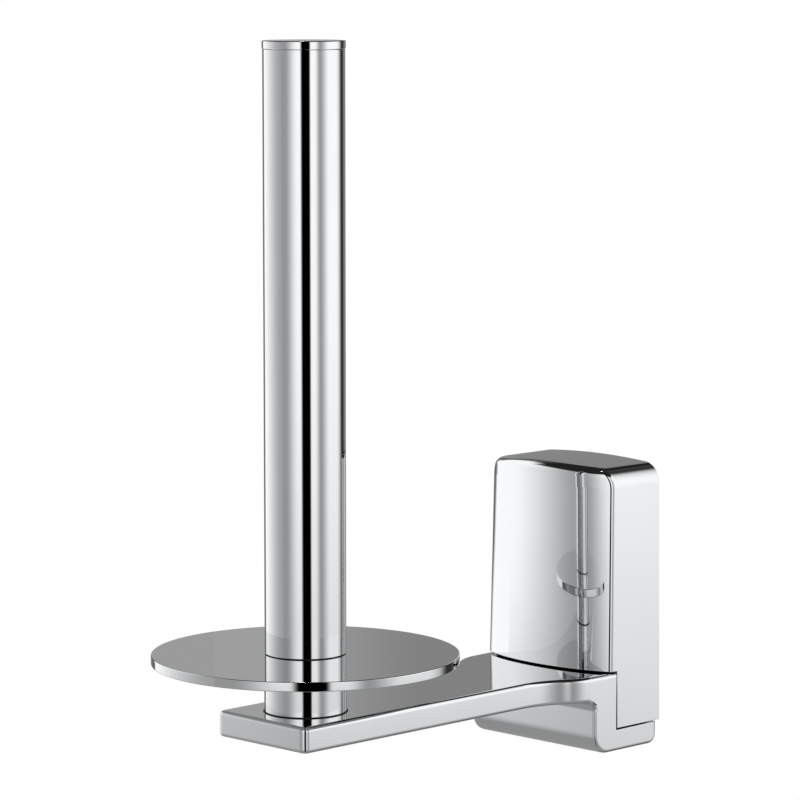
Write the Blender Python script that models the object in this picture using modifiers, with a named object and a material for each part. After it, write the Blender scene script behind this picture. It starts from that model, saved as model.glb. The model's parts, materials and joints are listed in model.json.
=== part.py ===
"""Toilet roll holder for the wall, with an upright post.

A cast arm is bolted to a wall bracket. At its end stand a collar, a round disc and a capped tube,
held by one bolt from below. A cover slides down over the bracket, behind its rails.
X runs along the wall, +Y points into the wall and Z up. The origin is the middle of the bracket's back.
"""
import math

import bmesh
import bpy

# Clearances
SEAT_GAP = 0.0003  # between a piece and what it rests on or fits in
CUT_OVERRUN = 0.002  # how far a cutter runs past the face it cuts

# Post
TUBE_DIAMETER = 0.0220
TUBE_WALL = 0.0010
TUBE_LENGTH = 0.1610
TUBE_EDGE = 0.0001
CAP_LIP = 0.00015  # how far the cap stands proud of the tube
CAP_HEIGHT = 0.0022
CAP_EDGE = 0.0003
CAP_SPIGOT_LENGTH = 0.0090
O_RING_SECTION = 0.0011
PLUG_LENGTH = 0.0160
DISC_DIAMETER = 0.0832
DISC_THICKNESS = 0.0026
DISC_EDGE = 0.0003
DISC_RECESS_DEPTH = 0.0003  # of the shallow seat that centres the tube and its gasket
DISC_RECESS_GAP = 0.0002  # round the tube
COLLAR_LIP = 0.00015  # how far the collar stands proud of the tube
COLLAR_HEIGHT = 0.0118
DISC_GASKET_THICKNESS = 0.0004
DISC_GASKET_INSET = 0.0002
ARM_GASKET_THICKNESS = 0.0005
ARM_GASKET_LIP = 0.0003
GASKET_EDGE = 0.00006

# Post bolt, countersunk from below
BOLT_DIAMETER = 0.0060
BOLT_GRIP = 0.0115  # length of its thread in the plug
BOLT_HEAD_DIAMETER = 0.0120
BOLT_HEAD_HEIGHT = 0.0033
BOLT_HEAD_RIM = 0.0004
BOLT_SOCKET = 0.0040
BOLT_SOCKET_DEPTH = 0.0022

# Arm casting: blade, flared shoulder, leg, foot and the tongue that is bolted to the bracket
HOLDER_WIDTH = 0.0485  # across the leg, and across the cover at its foot
ARM_DROP = 0.0182  # the blade's top below the origin
ARM_REACH = 0.1176  # from the wall to the post's axis
ARM_TIP_LENGTH = 0.01675
ARM_TIP_RADIUS = 0.00175
BLADE_WIDTH = 0.0344
BLADE_THICKNESS = 0.00715
FLARE_LENGTH = 0.0235
FLARE_SETBACK = 0.0013  # where the flare ends, behind the leg's front
FLARE_HOLLOW_SHARE = 0.59  # the hollow arc's part of both arcs' radii
LEG_LAP = 0.0022  # how far the cover's side reaches past the leg's back face
LEG_THICKNESS = 0.0090
LEG_FILLET = 0.0030
LEG_HEIGHT = 0.0226
FOOT_THICKNESS = 0.00625
FOOT_WALL_GAP = 0.0015
FOOT_FRONT_RADIUS = 0.0055
FOOT_BACK_RADIUS = 0.0028
ARM_EDGE = 0.0005
TONGUE_WIDTH = 0.0300
TONGUE_RISE = 0.0222
TONGUE_THICKNESS = 0.0051
TONGUE_SETBACK = 0.0017
TONGUE_ROOT = 0.0016  # how deep the tongue runs into the leg and foot
TONGUE_RIM = 0.0007  # left beside each boss recess

# Wall bracket
BRACKET_THICKNESS = 0.0040
BRACKET_TOP_GAP = 0.0027  # below the height where the cover starts to round in
BRACKET_SIDE_GAP = 0.0004
BRACKET_EDGE = 0.0004
RAIL_WIDTH = 0.0039
RAIL_THICKNESS = 0.0020
SLOT_WIDTH = 0.0055
SLOT_LENGTH = 0.0110
WALL_SCREW_SPACING = 0.0400
BOSS_DIAMETER = 0.0100
BOSS_DROP = 0.0080
BOSS_SPIGOT = 0.0015  # the part of a boss that sits in the tongue's recess

# Screws and washers that hold the arm to the bracket
ARM_SCREW_DIAMETER = 0.0040
ARM_SCREW_TIP_GAP = 0.0006
ARM_SCREW_HEAD_DIAMETER = 0.0070
ARM_SCREW_HEAD_HEIGHT = 0.0040
ARM_SCREW_HEAD_EDGE = 0.0004
ARM_SCREW_SOCKET = 0.0030
ARM_SCREW_SOCKET_DEPTH = 0.0022
WASHER_DIAMETER = 0.0076
WASHER_THICKNESS = 0.0009
WASHER_EDGE = 0.0001
WASHER_SPLIT = 0.0008

# Cover
COVER_TOP = 0.0409
COVER_DEPTH = 0.0210  # of its side wall, at its foot
COVER_SIDE_DRAFT = 0.0009
COVER_FRONT_DRAFT = 0.00145
COVER_BOW_BASE = 0.0048  # how far the front bows out past its corners, at the cover's foot
COVER_BOW_TOP = 0.0066
COVER_FLATNESS_SHARE = 0.3  # of the bow that follows the fourth power, which flattens its middle
COVER_WALL = 0.0015
COVER_INNER_CORNER = 0.0012
COVER_SIDE_RADIUS = 0.0055
COVER_FRONT_RADIUS = 0.0025
COVER_CROWN = 0.0007
COVER_ARM_GAP = 0.0009
COVER_FOOT_GAP = 0.0004
COVER_SEAM = 0.0004
COVER_WALL_GAP = 0.0003
RIB_THICKNESS = 0.0012
RIB_END_MARGIN = 0.0020

# Spring clips that grip the cover's side walls, and their rivets
CLIP_THICKNESS = 0.0005
CLIP_HEIGHT = 0.0100
CLIP_RISE = 0.0120  # the clip's middle above the origin
CLIP_BEND_RADIUS = 0.0012
CLIP_FLAT_LENGTH = 0.0062
CLIP_BOW_LENGTH = 0.0068
CLIP_BOW_DEPTH = 0.0014
RIVET_DIAMETER = 0.0030
RIVET_HEAD_DIAMETER = 0.0050
RIVET_HEAD_HEIGHT = 0.0012
RIVET_DEPTH_SHARE = 0.7  # of the rail's thickness

# Smoothness, as counts of steps
DISC_STEPS = 72
TUBE_STEPS = 48
SCREW_STEPS = 20
O_RING_SIDES = 8
HEX_SIDES = 6
ARC_SEGMENTS = 5
SLOT_END_SEGMENTS = 8
CLIP_BOW_SEGMENTS = 8
COVER_CORNER_SEGMENTS = 4
COVER_FRONT_SEGMENTS = 16
COVER_ROUND_SEGMENTS = 8
COVER_CORNER_TRIES = 8  # to find where the corner meets the front
COVER_SIDE_SHARES = (0, 0.5)
COVER_CROWN_SHARES = (0.75, 0.5, 0.25)
MERGE_DISTANCE = 0.000001

# The two sides of the holder, as the sign of X and the word in the pieces' names
SIDES = ((-1, "left"), (1, "right"))

# Heights of the post's stack, each piece resting on the one below
BLADE_TOP = -ARM_DROP
ARM_GASKET_BASE = BLADE_TOP + SEAT_GAP
COLLAR_BASE = ARM_GASKET_BASE + ARM_GASKET_THICKNESS + SEAT_GAP
DISC_BASE = COLLAR_BASE + COLLAR_HEIGHT + SEAT_GAP
DISC_TOP = DISC_BASE + DISC_THICKNESS
DISC_GASKET_BASE = DISC_TOP - DISC_RECESS_DEPTH + SEAT_GAP
TUBE_BASE = DISC_GASKET_BASE + DISC_GASKET_THICKNESS + SEAT_GAP
TUBE_TOP = TUBE_BASE + TUBE_LENGTH
CAP_BASE = TUBE_TOP + SEAT_GAP

# Sizes and places that several pieces share
TUBE_BORE = TUBE_DIAMETER - 2 * TUBE_WALL
CAP_DIAMETER = TUBE_DIAMETER + 2 * CAP_LIP
COLLAR_DIAMETER = TUBE_DIAMETER + 2 * COLLAR_LIP
BOLT_HOLE = BOLT_DIAMETER + 2 * SEAT_GAP
SCREW_HOLE = ARM_SCREW_DIAMETER + 2 * SEAT_GAP
RIVET_HOLE = RIVET_DIAMETER + 2 * SEAT_GAP
RIVET_DEPTH = RAIL_THICKNESS * RIVET_DEPTH_SHARE
BOSS_RECESS = BOSS_DIAMETER + 2 * SEAT_GAP
BOSS_SPACING = TONGUE_WIDTH - BOSS_RECESS - 2 * TONGUE_RIM
BLADE_BASE = BLADE_TOP - BLADE_THICKNESS
FOOT_BASE = BLADE_TOP - LEG_HEIGHT
FOOT_TOP = FOOT_BASE + FOOT_THICKNESS
LEG_BACK = COVER_DEPTH - LEG_LAP
LEG_FRONT = LEG_BACK + LEG_THICKNESS
TONGUE_FRONT = LEG_BACK - TONGUE_SETBACK
TONGUE_BACK = TONGUE_FRONT - TONGUE_THICKNESS
TONGUE_TOP = BLADE_TOP + TONGUE_RISE
BOSS_FRONT = TONGUE_BACK + BOSS_SPIGOT
COVER_BASE = FOOT_TOP + COVER_FOOT_GAP
COVER_ROUND_BASE = COVER_TOP - COVER_CROWN - COVER_SIDE_RADIUS
COVER_CORNER_RADIUS = COVER_WALL + COVER_INNER_CORNER
BRACKET_BASE = FOOT_TOP + SEAT_GAP
BRACKET_TOP = COVER_ROUND_BASE - BRACKET_TOP_GAP
RAIL_BACK = BRACKET_THICKNESS - RAIL_THICKNESS

# Finishes: colour, metallic, roughness
CHROME = ((0.80, 0.81, 0.82), 1.0, 0.05)
ZINC = ((0.55, 0.56, 0.57), 1.0, 0.45)
BRASS = ((0.72, 0.55, 0.28), 1.0, 0.35)
STEEL = ((0.60, 0.61, 0.62), 1.0, 0.30)
BLACK_RUBBER = ((0.02, 0.02, 0.02), 0.0, 0.60)


def clear_scene():
    """Removes every object, so that the model starts from nothing."""
    for thing in list(bpy.data.objects):
        bpy.data.objects.remove(thing, do_unlink=True)


def new_collection(name):
    """Makes a collection in the scene."""
    group = bpy.data.collections.new(name)
    bpy.context.scene.collection.children.link(group)
    return group


def new_object(name, mesh, group):
    """Puts a mesh in the scene as an object of the group."""
    made = bpy.data.objects.new(name, mesh)
    group.objects.link(made)
    return made


def give_finish(piece, finish):
    """Gives a piece a material of its own with the finish's colour, metallic value and roughness."""
    colour, metallic, roughness = finish
    material = bpy.data.materials.new(piece.name + "_finish")
    material.use_nodes = True
    shader = material.node_tree.nodes["Principled BSDF"]
    shader.inputs["Base Color"].default_value = (*colour, 1.0)
    shader.inputs["Metallic"].default_value = metallic
    shader.inputs["Roughness"].default_value = roughness
    piece.data.materials.append(material)


def shade_round(piece, angle=math.radians(35)):
    """Shades the round faces smooth and keeps the real edges sharp."""
    piece.data.shade_smooth()
    piece.data.set_sharp_from_angle(angle=angle)


def arc(centre, radius, start, end, segments=ARC_SEGMENTS):
    """Gives the points of an arc about a centre, both ends included; angles in degrees."""
    points = []
    for step in range(segments + 1):
        angle = math.radians(start + (end - start) * step / segments)
        points.append((centre[0] + radius * math.cos(angle), centre[1] + radius * math.sin(angle)))
    return points


def turned(name, profile, group, steps, closed):
    """Turns a profile of (radius, height) points about Z; a closed one makes a ring."""
    mesh = bpy.data.meshes.new(name)
    edges = [(index, index + 1) for index in range(len(profile) - 1)]
    if closed:
        edges.append((len(profile) - 1, 0))
    mesh.from_pydata([(radius, 0, height) for radius, height in profile], edges, [])
    piece = new_object(name, mesh, group)
    spin = piece.modifiers.new("spin", "SCREW")
    spin.axis = "Z"
    spin.steps = steps
    spin.render_steps = steps
    spin.use_merge_vertices = True
    spin.merge_threshold = MERGE_DISTANCE
    return piece


def extruded(name, outline, depth, group, turn=(0, 0, 0), place=(0, 0, 0)):
    """Extrudes a closed flat outline, half its depth to each side of its plane, and makes it a mesh."""
    curve = bpy.data.curves.new(name, "CURVE")
    curve.dimensions = "2D"
    curve.fill_mode = "BOTH"
    curve.extrude = depth / 2
    spline = curve.splines.new("POLY")
    spline.points.add(len(outline) - 1)
    for point, (across, up) in zip(spline.points, outline):
        point.co = (across, up, 0, 1)
    spline.use_cyclic_u = True
    drawn = new_object(name + "_outline", curve, group)
    drawn.rotation_euler = turn
    drawn.location = place
    return curve_to_mesh(drawn, name, group)


def curve_to_mesh(drawn, name, group):
    """Makes a mesh object of a curve object, with its caps welded on, and removes the curve."""
    graph = bpy.context.evaluated_depsgraph_get()
    graph.update()
    mesh = bpy.data.meshes.new_from_object(drawn.evaluated_get(graph))
    shape = bmesh.new()
    shape.from_mesh(mesh)
    bmesh.ops.remove_doubles(shape, verts=shape.verts, dist=MERGE_DISTANCE)
    bmesh.ops.recalc_face_normals(shape, faces=shape.faces)
    shape.to_mesh(mesh)
    shape.free()
    piece = new_object(name, mesh, group)
    piece.matrix_world = drawn.matrix_world
    bpy.data.objects.remove(drawn, do_unlink=True)
    return piece


def box(name, low, high, group):
    """Makes a box between two corners."""
    shape = bmesh.new()
    bmesh.ops.create_cube(shape, size=1)
    size = [top - base for base, top in zip(low, high)]
    middle = [(top + base) / 2 for base, top in zip(low, high)]
    bmesh.ops.scale(shape, vec=size, verts=shape.verts)
    bmesh.ops.translate(shape, vec=middle, verts=shape.verts)
    mesh = bpy.data.meshes.new(name)
    shape.to_mesh(mesh)
    shape.free()
    return new_object(name, mesh, group)


def rod(name, diameter, length, sides, group, turn=(0, 0, 0), place=(0, 0, 0)):
    """Makes a round or many-sided rod about its own Z axis, centred on its place."""
    shape = bmesh.new()
    bmesh.ops.create_cone(
        shape, cap_ends=True, segments=sides, radius1=diameter / 2, radius2=diameter / 2, depth=length
    )
    mesh = bpy.data.meshes.new(name)
    shape.to_mesh(mesh)
    shape.free()
    piece = new_object(name, mesh, group)
    piece.rotation_euler = turn
    piece.location = place
    return piece


def combine(piece, other, how):
    """Adds a Boolean of the piece with another object, which is then only a guide."""
    step = piece.modifiers.new(how.lower() + "_" + other.name, "BOOLEAN")
    step.operation = how
    step.solver = "EXACT"
    step.object = other
    other.hide_render = True
    other.display_type = "WIRE"


def bevel(piece, width, segments=2, angle=math.radians(35)):
    """Rounds the edges that are sharper than an angle."""
    step = piece.modifiers.new("bevel", "BEVEL")
    step.width = width
    step.segments = segments
    step.limit_method = "ANGLE"
    step.angle_limit = angle


# Turns that lay a flat outline in the plane of the wall, or upright across it
FACE_FRONT = (math.radians(90), 0, 0)
FACE_SIDE = (math.radians(90), 0, math.radians(90))


def ring_profile(outer, bore, base, height, edge):
    """Outlines half the section of a ring whose outer edges are chamfered."""
    top = base + height
    return [
        (outer / 2 - edge, top),
        (outer / 2, top - edge),
        (outer / 2, base + edge),
        (outer / 2 - edge, base),
        (bore / 2, base),
        (bore / 2, top),
    ]


def across_corners(across_flats):
    """Gives a hexagon's size across its corners from that across its flats."""
    return across_flats / math.cos(math.pi / HEX_SIDES)


def set_on_post(piece):
    """Stands a turned piece on the post's axis."""
    piece.location = (0, -ARM_REACH, 0)


def make_tube(parts):
    """Makes the post's tube."""
    profile = ring_profile(TUBE_DIAMETER, TUBE_BORE, TUBE_BASE, TUBE_LENGTH, TUBE_EDGE)
    tube = turned("post_tube", profile, parts, TUBE_STEPS, True)
    set_on_post(tube)
    give_finish(tube, CHROME)
    shade_round(tube)


def make_cap(parts):
    """Makes the cap, whose spigot carries an O-ring that grips the tube."""
    spigot = TUBE_BORE / 2 - SEAT_GAP
    groove = TUBE_BORE / 2 - O_RING_SECTION - 2 * SEAT_GAP
    groove_height = O_RING_SECTION + 2 * SEAT_GAP
    spigot_base = CAP_BASE - CAP_SPIGOT_LENGTH
    groove_base = CAP_BASE - CAP_SPIGOT_LENGTH / 2 - groove_height / 2
    groove_top = groove_base + groove_height
    top = CAP_BASE + CAP_HEIGHT
    profile = [
        (0, top),
        (CAP_DIAMETER / 2 - CAP_EDGE, top),
        (CAP_DIAMETER / 2, top - CAP_EDGE),
        (CAP_DIAMETER / 2, CAP_BASE),
        (spigot, CAP_BASE),
        (spigot, groove_top),
        (groove, groove_top),
        (groove, groove_base),
        (spigot, groove_base),
        (spigot, spigot_base + CAP_EDGE),
        (spigot - CAP_EDGE, spigot_base),
        (0, spigot_base),
    ]
    cap = turned("top_cap", profile, parts, TUBE_STEPS, False)
    set_on_post(cap)
    give_finish(cap, CHROME)
    shade_round(cap)
    middle = (groove + SEAT_GAP + O_RING_SECTION / 2, groove_base + groove_height / 2)
    section = arc(middle, O_RING_SECTION / 2, 360, 0, O_RING_SIDES)[:-1]
    o_ring = turned("cap_o_ring", section, parts, TUBE_STEPS, True)
    set_on_post(o_ring)
    give_finish(o_ring, BLACK_RUBBER)
    shade_round(o_ring)


def make_plug(parts):
    """Makes the threaded plug at the tube's foot, which the post bolt pulls down."""
    profile = ring_profile(TUBE_BORE - 2 * SEAT_GAP, BOLT_HOLE, TUBE_BASE, PLUG_LENGTH, CAP_EDGE)
    plug = turned("post_plug", profile, parts, TUBE_STEPS, True)
    set_on_post(plug)
    give_finish(plug, BRASS)
    shade_round(plug)


def make_disc(parts):
    """Makes the disc that carries the roll, with a shallow recess where the tube stands."""
    profile = ring_profile(DISC_DIAMETER, BOLT_HOLE, DISC_BASE, DISC_THICKNESS, DISC_EDGE)
    recess = TUBE_DIAMETER / 2 + DISC_RECESS_GAP
    profile[-1] = (BOLT_HOLE / 2, DISC_TOP - DISC_RECESS_DEPTH)
    profile += [(recess, DISC_TOP - DISC_RECESS_DEPTH), (recess, DISC_TOP)]
    disc = turned("roll_disc", profile, parts, DISC_STEPS, True)
    set_on_post(disc)
    give_finish(disc, CHROME)
    shade_round(disc)


def make_collar(parts):
    """Makes the collar between the arm and the disc."""
    profile = ring_profile(COLLAR_DIAMETER, BOLT_HOLE, COLLAR_BASE, COLLAR_HEIGHT, CAP_EDGE)
    collar = turned("spacer_collar", profile, parts, TUBE_STEPS, True)
    set_on_post(collar)
    give_finish(collar, CHROME)
    shade_round(collar)


def make_gaskets(parts):
    """Makes the thin gaskets under the tube and under the collar."""
    rings = (
        ("disc_gasket", TUBE_DIAMETER - 2 * DISC_GASKET_INSET, DISC_GASKET_BASE, DISC_GASKET_THICKNESS),
        ("arm_gasket", COLLAR_DIAMETER + 2 * ARM_GASKET_LIP, ARM_GASKET_BASE, ARM_GASKET_THICKNESS),
    )
    for name, diameter, base, thickness in rings:
        profile = ring_profile(diameter, BOLT_HOLE, base, thickness, GASKET_EDGE)
        gasket = turned(name, profile, parts, TUBE_STEPS, True)
        set_on_post(gasket)
        give_finish(gasket, BLACK_RUBBER)
        shade_round(gasket)


def make_bolt(parts, cutters):
    """Makes the countersunk bolt that holds the post to the arm, its head up inside the blade."""
    base = BLADE_BASE + SEAT_GAP
    shoulder = base + BOLT_HEAD_HEIGHT
    tip = TUBE_BASE + BOLT_GRIP
    profile = [
        (0, tip),
        (BOLT_DIAMETER / 2 - BOLT_HEAD_RIM, tip),
        (BOLT_DIAMETER / 2, tip - BOLT_HEAD_RIM),
        (BOLT_DIAMETER / 2, shoulder),
        (BOLT_HEAD_DIAMETER / 2, base + BOLT_HEAD_RIM),
        (BOLT_HEAD_DIAMETER / 2, base),
        (0, base),
    ]
    bolt = turned("post_bolt", profile, parts, SCREW_STEPS, False)
    set_on_post(bolt)
    depth = BOLT_SOCKET_DEPTH + CUT_OVERRUN
    socket = rod(
        "post_bolt_socket",
        across_corners(BOLT_SOCKET),
        depth,
        HEX_SIDES,
        cutters,
        place=(0, -ARM_REACH, base + BOLT_SOCKET_DEPTH - depth / 2),
    )
    combine(bolt, socket, "DIFFERENCE")
    give_finish(bolt, STEEL)
    shade_round(bolt)


def arm_side_outline():
    """Outlines the arm from the side as (y, z): blade, inner fillet, leg, rounded foot, step and top."""
    tip = -ARM_REACH - ARM_TIP_LENGTH
    foot_back = -FOOT_WALL_GAP
    points = [(tip, BLADE_TOP), (tip, BLADE_BASE)]
    points += arc((-LEG_FRONT - LEG_FILLET, BLADE_BASE - LEG_FILLET), LEG_FILLET, 90, 0)
    toe = (-LEG_FRONT + FOOT_FRONT_RADIUS, FOOT_BASE + FOOT_FRONT_RADIUS)
    points += arc(toe, FOOT_FRONT_RADIUS, 180, 270)
    heel = (foot_back - FOOT_BACK_RADIUS, FOOT_BASE + FOOT_BACK_RADIUS)
    points += arc(heel, FOOT_BACK_RADIUS, 270, 360)
    points += [(foot_back, FOOT_TOP), (-LEG_BACK, FOOT_TOP), (-LEG_BACK, BLADE_TOP)]
    return points


def arm_plan_half():
    """Traces the arm's +X edge from above as (x, y), from the wall to the tip."""
    blade_half = BLADE_WIDTH / 2
    rise = HOLDER_WIDTH / 2 - blade_half
    turn = 2 * math.atan2(rise, FLARE_LENGTH)
    both_radii = FLARE_LENGTH / math.sin(turn)
    hollow = both_radii * FLARE_HOLLOW_SHARE
    crest = both_radii - hollow
    flare_end = -LEG_FRONT + FLARE_SETBACK
    flare_start = flare_end - FLARE_LENGTH
    points = [(HOLDER_WIDTH / 2, CUT_OVERRUN)]
    degrees = math.degrees(turn)
    tip = -ARM_REACH - ARM_TIP_LENGTH
    points += arc((HOLDER_WIDTH / 2 - crest, flare_end), crest, 0, -degrees)
    points += arc((blade_half + hollow, flare_start), hollow, 180 - degrees, 180)[1:]
    points += arc((blade_half - ARM_TIP_RADIUS, tip + ARM_TIP_RADIUS), ARM_TIP_RADIUS, 0, -90)
    return points


def make_arm(parts, cutters):
    """Makes the arm: side outline and plan outline crossed, with the tongue joined on and the holes cut."""
    arm = extruded("arm", arm_side_outline(), HOLDER_WIDTH + 2 * CUT_OVERRUN, parts, FACE_SIDE)
    half = arm_plan_half()
    plan = half + [(-x, y) for x, y in reversed(half)]
    height = LEG_HEIGHT + 2 * CUT_OVERRUN
    guide = extruded("arm_plan", plan, height, cutters, place=(0, 0, BLADE_TOP - LEG_HEIGHT / 2))
    combine(arm, guide, "INTERSECT")
    bevel(arm, ARM_EDGE)
    buried = BLADE_TOP - ARM_EDGE
    tongue_outline = [
        (-TONGUE_BACK, FOOT_TOP - TONGUE_ROOT),
        (-TONGUE_BACK, TONGUE_TOP),
        (-TONGUE_FRONT, TONGUE_TOP),
        (-TONGUE_FRONT, buried),
        (-LEG_BACK - TONGUE_ROOT, buried - TONGUE_ROOT),
        (-LEG_BACK - TONGUE_ROOT, FOOT_TOP - TONGUE_ROOT),
    ]
    tongue = extruded("arm_tongue", tongue_outline, TONGUE_WIDTH, cutters, FACE_SIDE)
    combine(arm, tongue, "UNION")
    for side, label in SIDES:
        across = side * BOSS_SPACING / 2
        recess_depth = BOSS_SPIGOT + SEAT_GAP
        recess = rod(
            "boss_recess_" + label,
            BOSS_RECESS,
            recess_depth + CUT_OVERRUN,
            SCREW_STEPS,
            cutters,
            FACE_FRONT,
            (across, -TONGUE_BACK - recess_depth / 2 + CUT_OVERRUN / 2, -BOSS_DROP),
        )
        combine(arm, recess, "DIFFERENCE")
        hole = rod(
            "arm_screw_hole_" + label,
            SCREW_HOLE,
            TONGUE_THICKNESS + 2 * CUT_OVERRUN,
            SCREW_STEPS,
            cutters,
            FACE_FRONT,
            (across, -TONGUE_BACK - TONGUE_THICKNESS / 2, -BOSS_DROP),
        )
        combine(arm, hole, "DIFFERENCE")
    cone_top = BLADE_BASE + SEAT_GAP + BOLT_HEAD_HEIGHT
    head = BOLT_HEAD_DIAMETER / 2 + SEAT_GAP
    bolt_way = [
        (0, BLADE_TOP + CUT_OVERRUN),
        (BOLT_HOLE / 2, BLADE_TOP + CUT_OVERRUN),
        (BOLT_HOLE / 2, cone_top + SEAT_GAP),
        (head, BLADE_BASE + 2 * SEAT_GAP + BOLT_HEAD_RIM),
        (head, BLADE_BASE - CUT_OVERRUN),
        (0, BLADE_BASE - CUT_OVERRUN),
    ]
    way = turned("post_bolt_way", bolt_way, cutters, SCREW_STEPS, False)
    set_on_post(way)
    combine(arm, way, "DIFFERENCE")
    give_finish(arm, CHROME)
    shade_round(arm)


def slot_outline(length, width):
    """Outlines a slot with round ends, its length along the first axis."""
    straight = (length - width) / 2
    right = arc((straight, 0), width / 2, -90, 90, SLOT_END_SEGMENTS)
    left = arc((-straight, 0), width / 2, 90, 270, SLOT_END_SEGMENTS)
    return right + left


def rail_reach():
    """Gives how far the rails reach from the middle, just short of the cover's side walls."""
    return cover_half_width(BRACKET_TOP) - COVER_WALL - BRACKET_SIDE_GAP


def make_bracket(parts, cutters):
    """Makes the wall bracket: plate with two side rails, two bosses and the slots for the wall screws."""
    reach = rail_reach()
    half = reach - RAIL_WIDTH
    section = [
        (-half, 0),
        (-half, -RAIL_BACK),
        (-reach, -RAIL_BACK),
        (-reach, -BRACKET_THICKNESS),
        (reach, -BRACKET_THICKNESS),
        (reach, -RAIL_BACK),
        (half, -RAIL_BACK),
        (half, 0),
    ]
    height = BRACKET_TOP - BRACKET_BASE
    middle = (BRACKET_TOP + BRACKET_BASE) / 2
    bracket = extruded("wall_bracket", section, height, parts, place=(0, 0, middle))
    bevel(bracket, BRACKET_EDGE, 1)
    add_bosses(bracket, cutters)
    cut_rivet_holes(bracket, cutters)
    cut_slots(bracket, cutters)
    give_finish(bracket, ZINC)
    shade_round(bracket)


def add_bosses(bracket, cutters):
    """Joins the two bosses for the arm screws to the bracket and drills them."""
    boss_length = BOSS_FRONT - BRACKET_THICKNESS / 2
    hole_depth = BOSS_FRONT - BRACKET_THICKNESS
    for side, label in SIDES:
        across = side * BOSS_SPACING / 2
        place = (across, -BOSS_FRONT + boss_length / 2, -BOSS_DROP)
        boss = rod("boss_" + label, BOSS_DIAMETER, boss_length, SCREW_STEPS, cutters, FACE_FRONT, place)
        combine(bracket, boss, "UNION")
        hole_place = (across, -BOSS_FRONT + (hole_depth - CUT_OVERRUN) / 2, -BOSS_DROP)
        hole = rod(
            "boss_hole_" + label,
            SCREW_HOLE,
            hole_depth + CUT_OVERRUN,
            SCREW_STEPS,
            cutters,
            FACE_FRONT,
            hole_place,
        )
        combine(bracket, hole, "DIFFERENCE")


def cut_rivet_holes(bracket, cutters):
    """Drills the rails for the rivets that hold the clips."""
    rivet_length = RIVET_DEPTH + SEAT_GAP + CUT_OVERRUN
    middle = -BRACKET_THICKNESS + RIVET_DEPTH + SEAT_GAP - rivet_length / 2
    for side, label in SIDES:
        rivet_place = (side * rivet_across(), middle, CLIP_RISE)
        rivet_hole = rod(
            "rivet_hole_" + label,
            RIVET_HOLE,
            rivet_length,
            SCREW_STEPS,
            cutters,
            FACE_FRONT,
            rivet_place,
        )
        combine(bracket, rivet_hole, "DIFFERENCE")


def cut_slots(bracket, cutters):
    """Cuts the level upper slot and the upright lower slot for the wall screws."""
    depth = BRACKET_THICKNESS + 2 * CUT_OVERRUN
    spin = math.radians(90)
    for name, rise, turn in (
        ("upper_slot", WALL_SCREW_SPACING / 2, FACE_FRONT),
        ("lower_slot", -WALL_SCREW_SPACING / 2, (spin, spin, 0)),
    ):
        outline = slot_outline(SLOT_LENGTH, SLOT_WIDTH)
        slot = extruded(name, outline, depth, cutters, turn, (0, -BRACKET_THICKNESS / 2, rise))
        combine(bracket, slot, "DIFFERENCE")


def make_arm_screws(parts, cutters):
    """Makes the two socket-head screws through the tongue, and the spring washer under each head."""
    washer_face = TONGUE_FRONT + SEAT_GAP
    head_face = washer_face + WASHER_THICKNESS + SEAT_GAP
    length = head_face - BRACKET_THICKNESS - ARM_SCREW_TIP_GAP
    profile = [
        (0, ARM_SCREW_HEAD_HEIGHT),
        (ARM_SCREW_HEAD_DIAMETER / 2 - ARM_SCREW_HEAD_EDGE, ARM_SCREW_HEAD_HEIGHT),
        (ARM_SCREW_HEAD_DIAMETER / 2, ARM_SCREW_HEAD_HEIGHT - ARM_SCREW_HEAD_EDGE),
        (ARM_SCREW_HEAD_DIAMETER / 2, 0),
        (ARM_SCREW_DIAMETER / 2, 0),
        (ARM_SCREW_DIAMETER / 2, -length + ARM_SCREW_HEAD_EDGE),
        (ARM_SCREW_DIAMETER / 2 - ARM_SCREW_HEAD_EDGE, -length),
        (0, -length),
    ]
    ring = ring_profile(WASHER_DIAMETER, SCREW_HOLE, 0, WASHER_THICKNESS, WASHER_EDGE)
    for side, label in SIDES:
        across = side * BOSS_SPACING / 2
        screw = turned("arm_screw_" + label, profile, parts, SCREW_STEPS, False)
        screw.rotation_euler = FACE_FRONT
        screw.location = (across, -head_face, -BOSS_DROP)
        depth = ARM_SCREW_SOCKET_DEPTH + CUT_OVERRUN
        socket_face = head_face + ARM_SCREW_HEAD_HEIGHT - ARM_SCREW_SOCKET_DEPTH
        socket = rod(
            "arm_screw_socket_" + label,
            across_corners(ARM_SCREW_SOCKET),
            depth,
            HEX_SIDES,
            cutters,
            FACE_FRONT,
            (across, -socket_face - depth / 2, -BOSS_DROP),
        )
        combine(screw, socket, "DIFFERENCE")
        give_finish(screw, STEEL)
        shade_round(screw)
        washer = turned("spring_washer_" + label, ring, parts, SCREW_STEPS, True)
        washer.rotation_euler = FACE_FRONT
        washer.location = (across, -washer_face, -BOSS_DROP)
        split = box(
            "washer_split_" + label,
            (across - WASHER_SPLIT / 2, -washer_face - WASHER_THICKNESS - CUT_OVERRUN, -BOSS_DROP),
            (across + WASHER_SPLIT / 2, -washer_face + CUT_OVERRUN, -BOSS_DROP + WASHER_DIAMETER),
            cutters,
        )
        combine(washer, split, "DIFFERENCE")
        give_finish(washer, STEEL)
        shade_round(washer)


def cover_share(height):
    """Says how far up the cover a height is, from 0 at its foot to 1 at its top."""
    return (height - COVER_BASE) / (COVER_TOP - COVER_BASE)


def cover_half_width(height):
    """Gives half the cover's width at a height, before the top's rounding."""
    return HOLDER_WIDTH / 2 - COVER_SIDE_DRAFT * cover_share(height)


def cover_side_depth(height):
    """Gives how far the cover's side wall reaches from the wall at a height."""
    return COVER_DEPTH - COVER_FRONT_DRAFT * cover_share(height)


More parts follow.
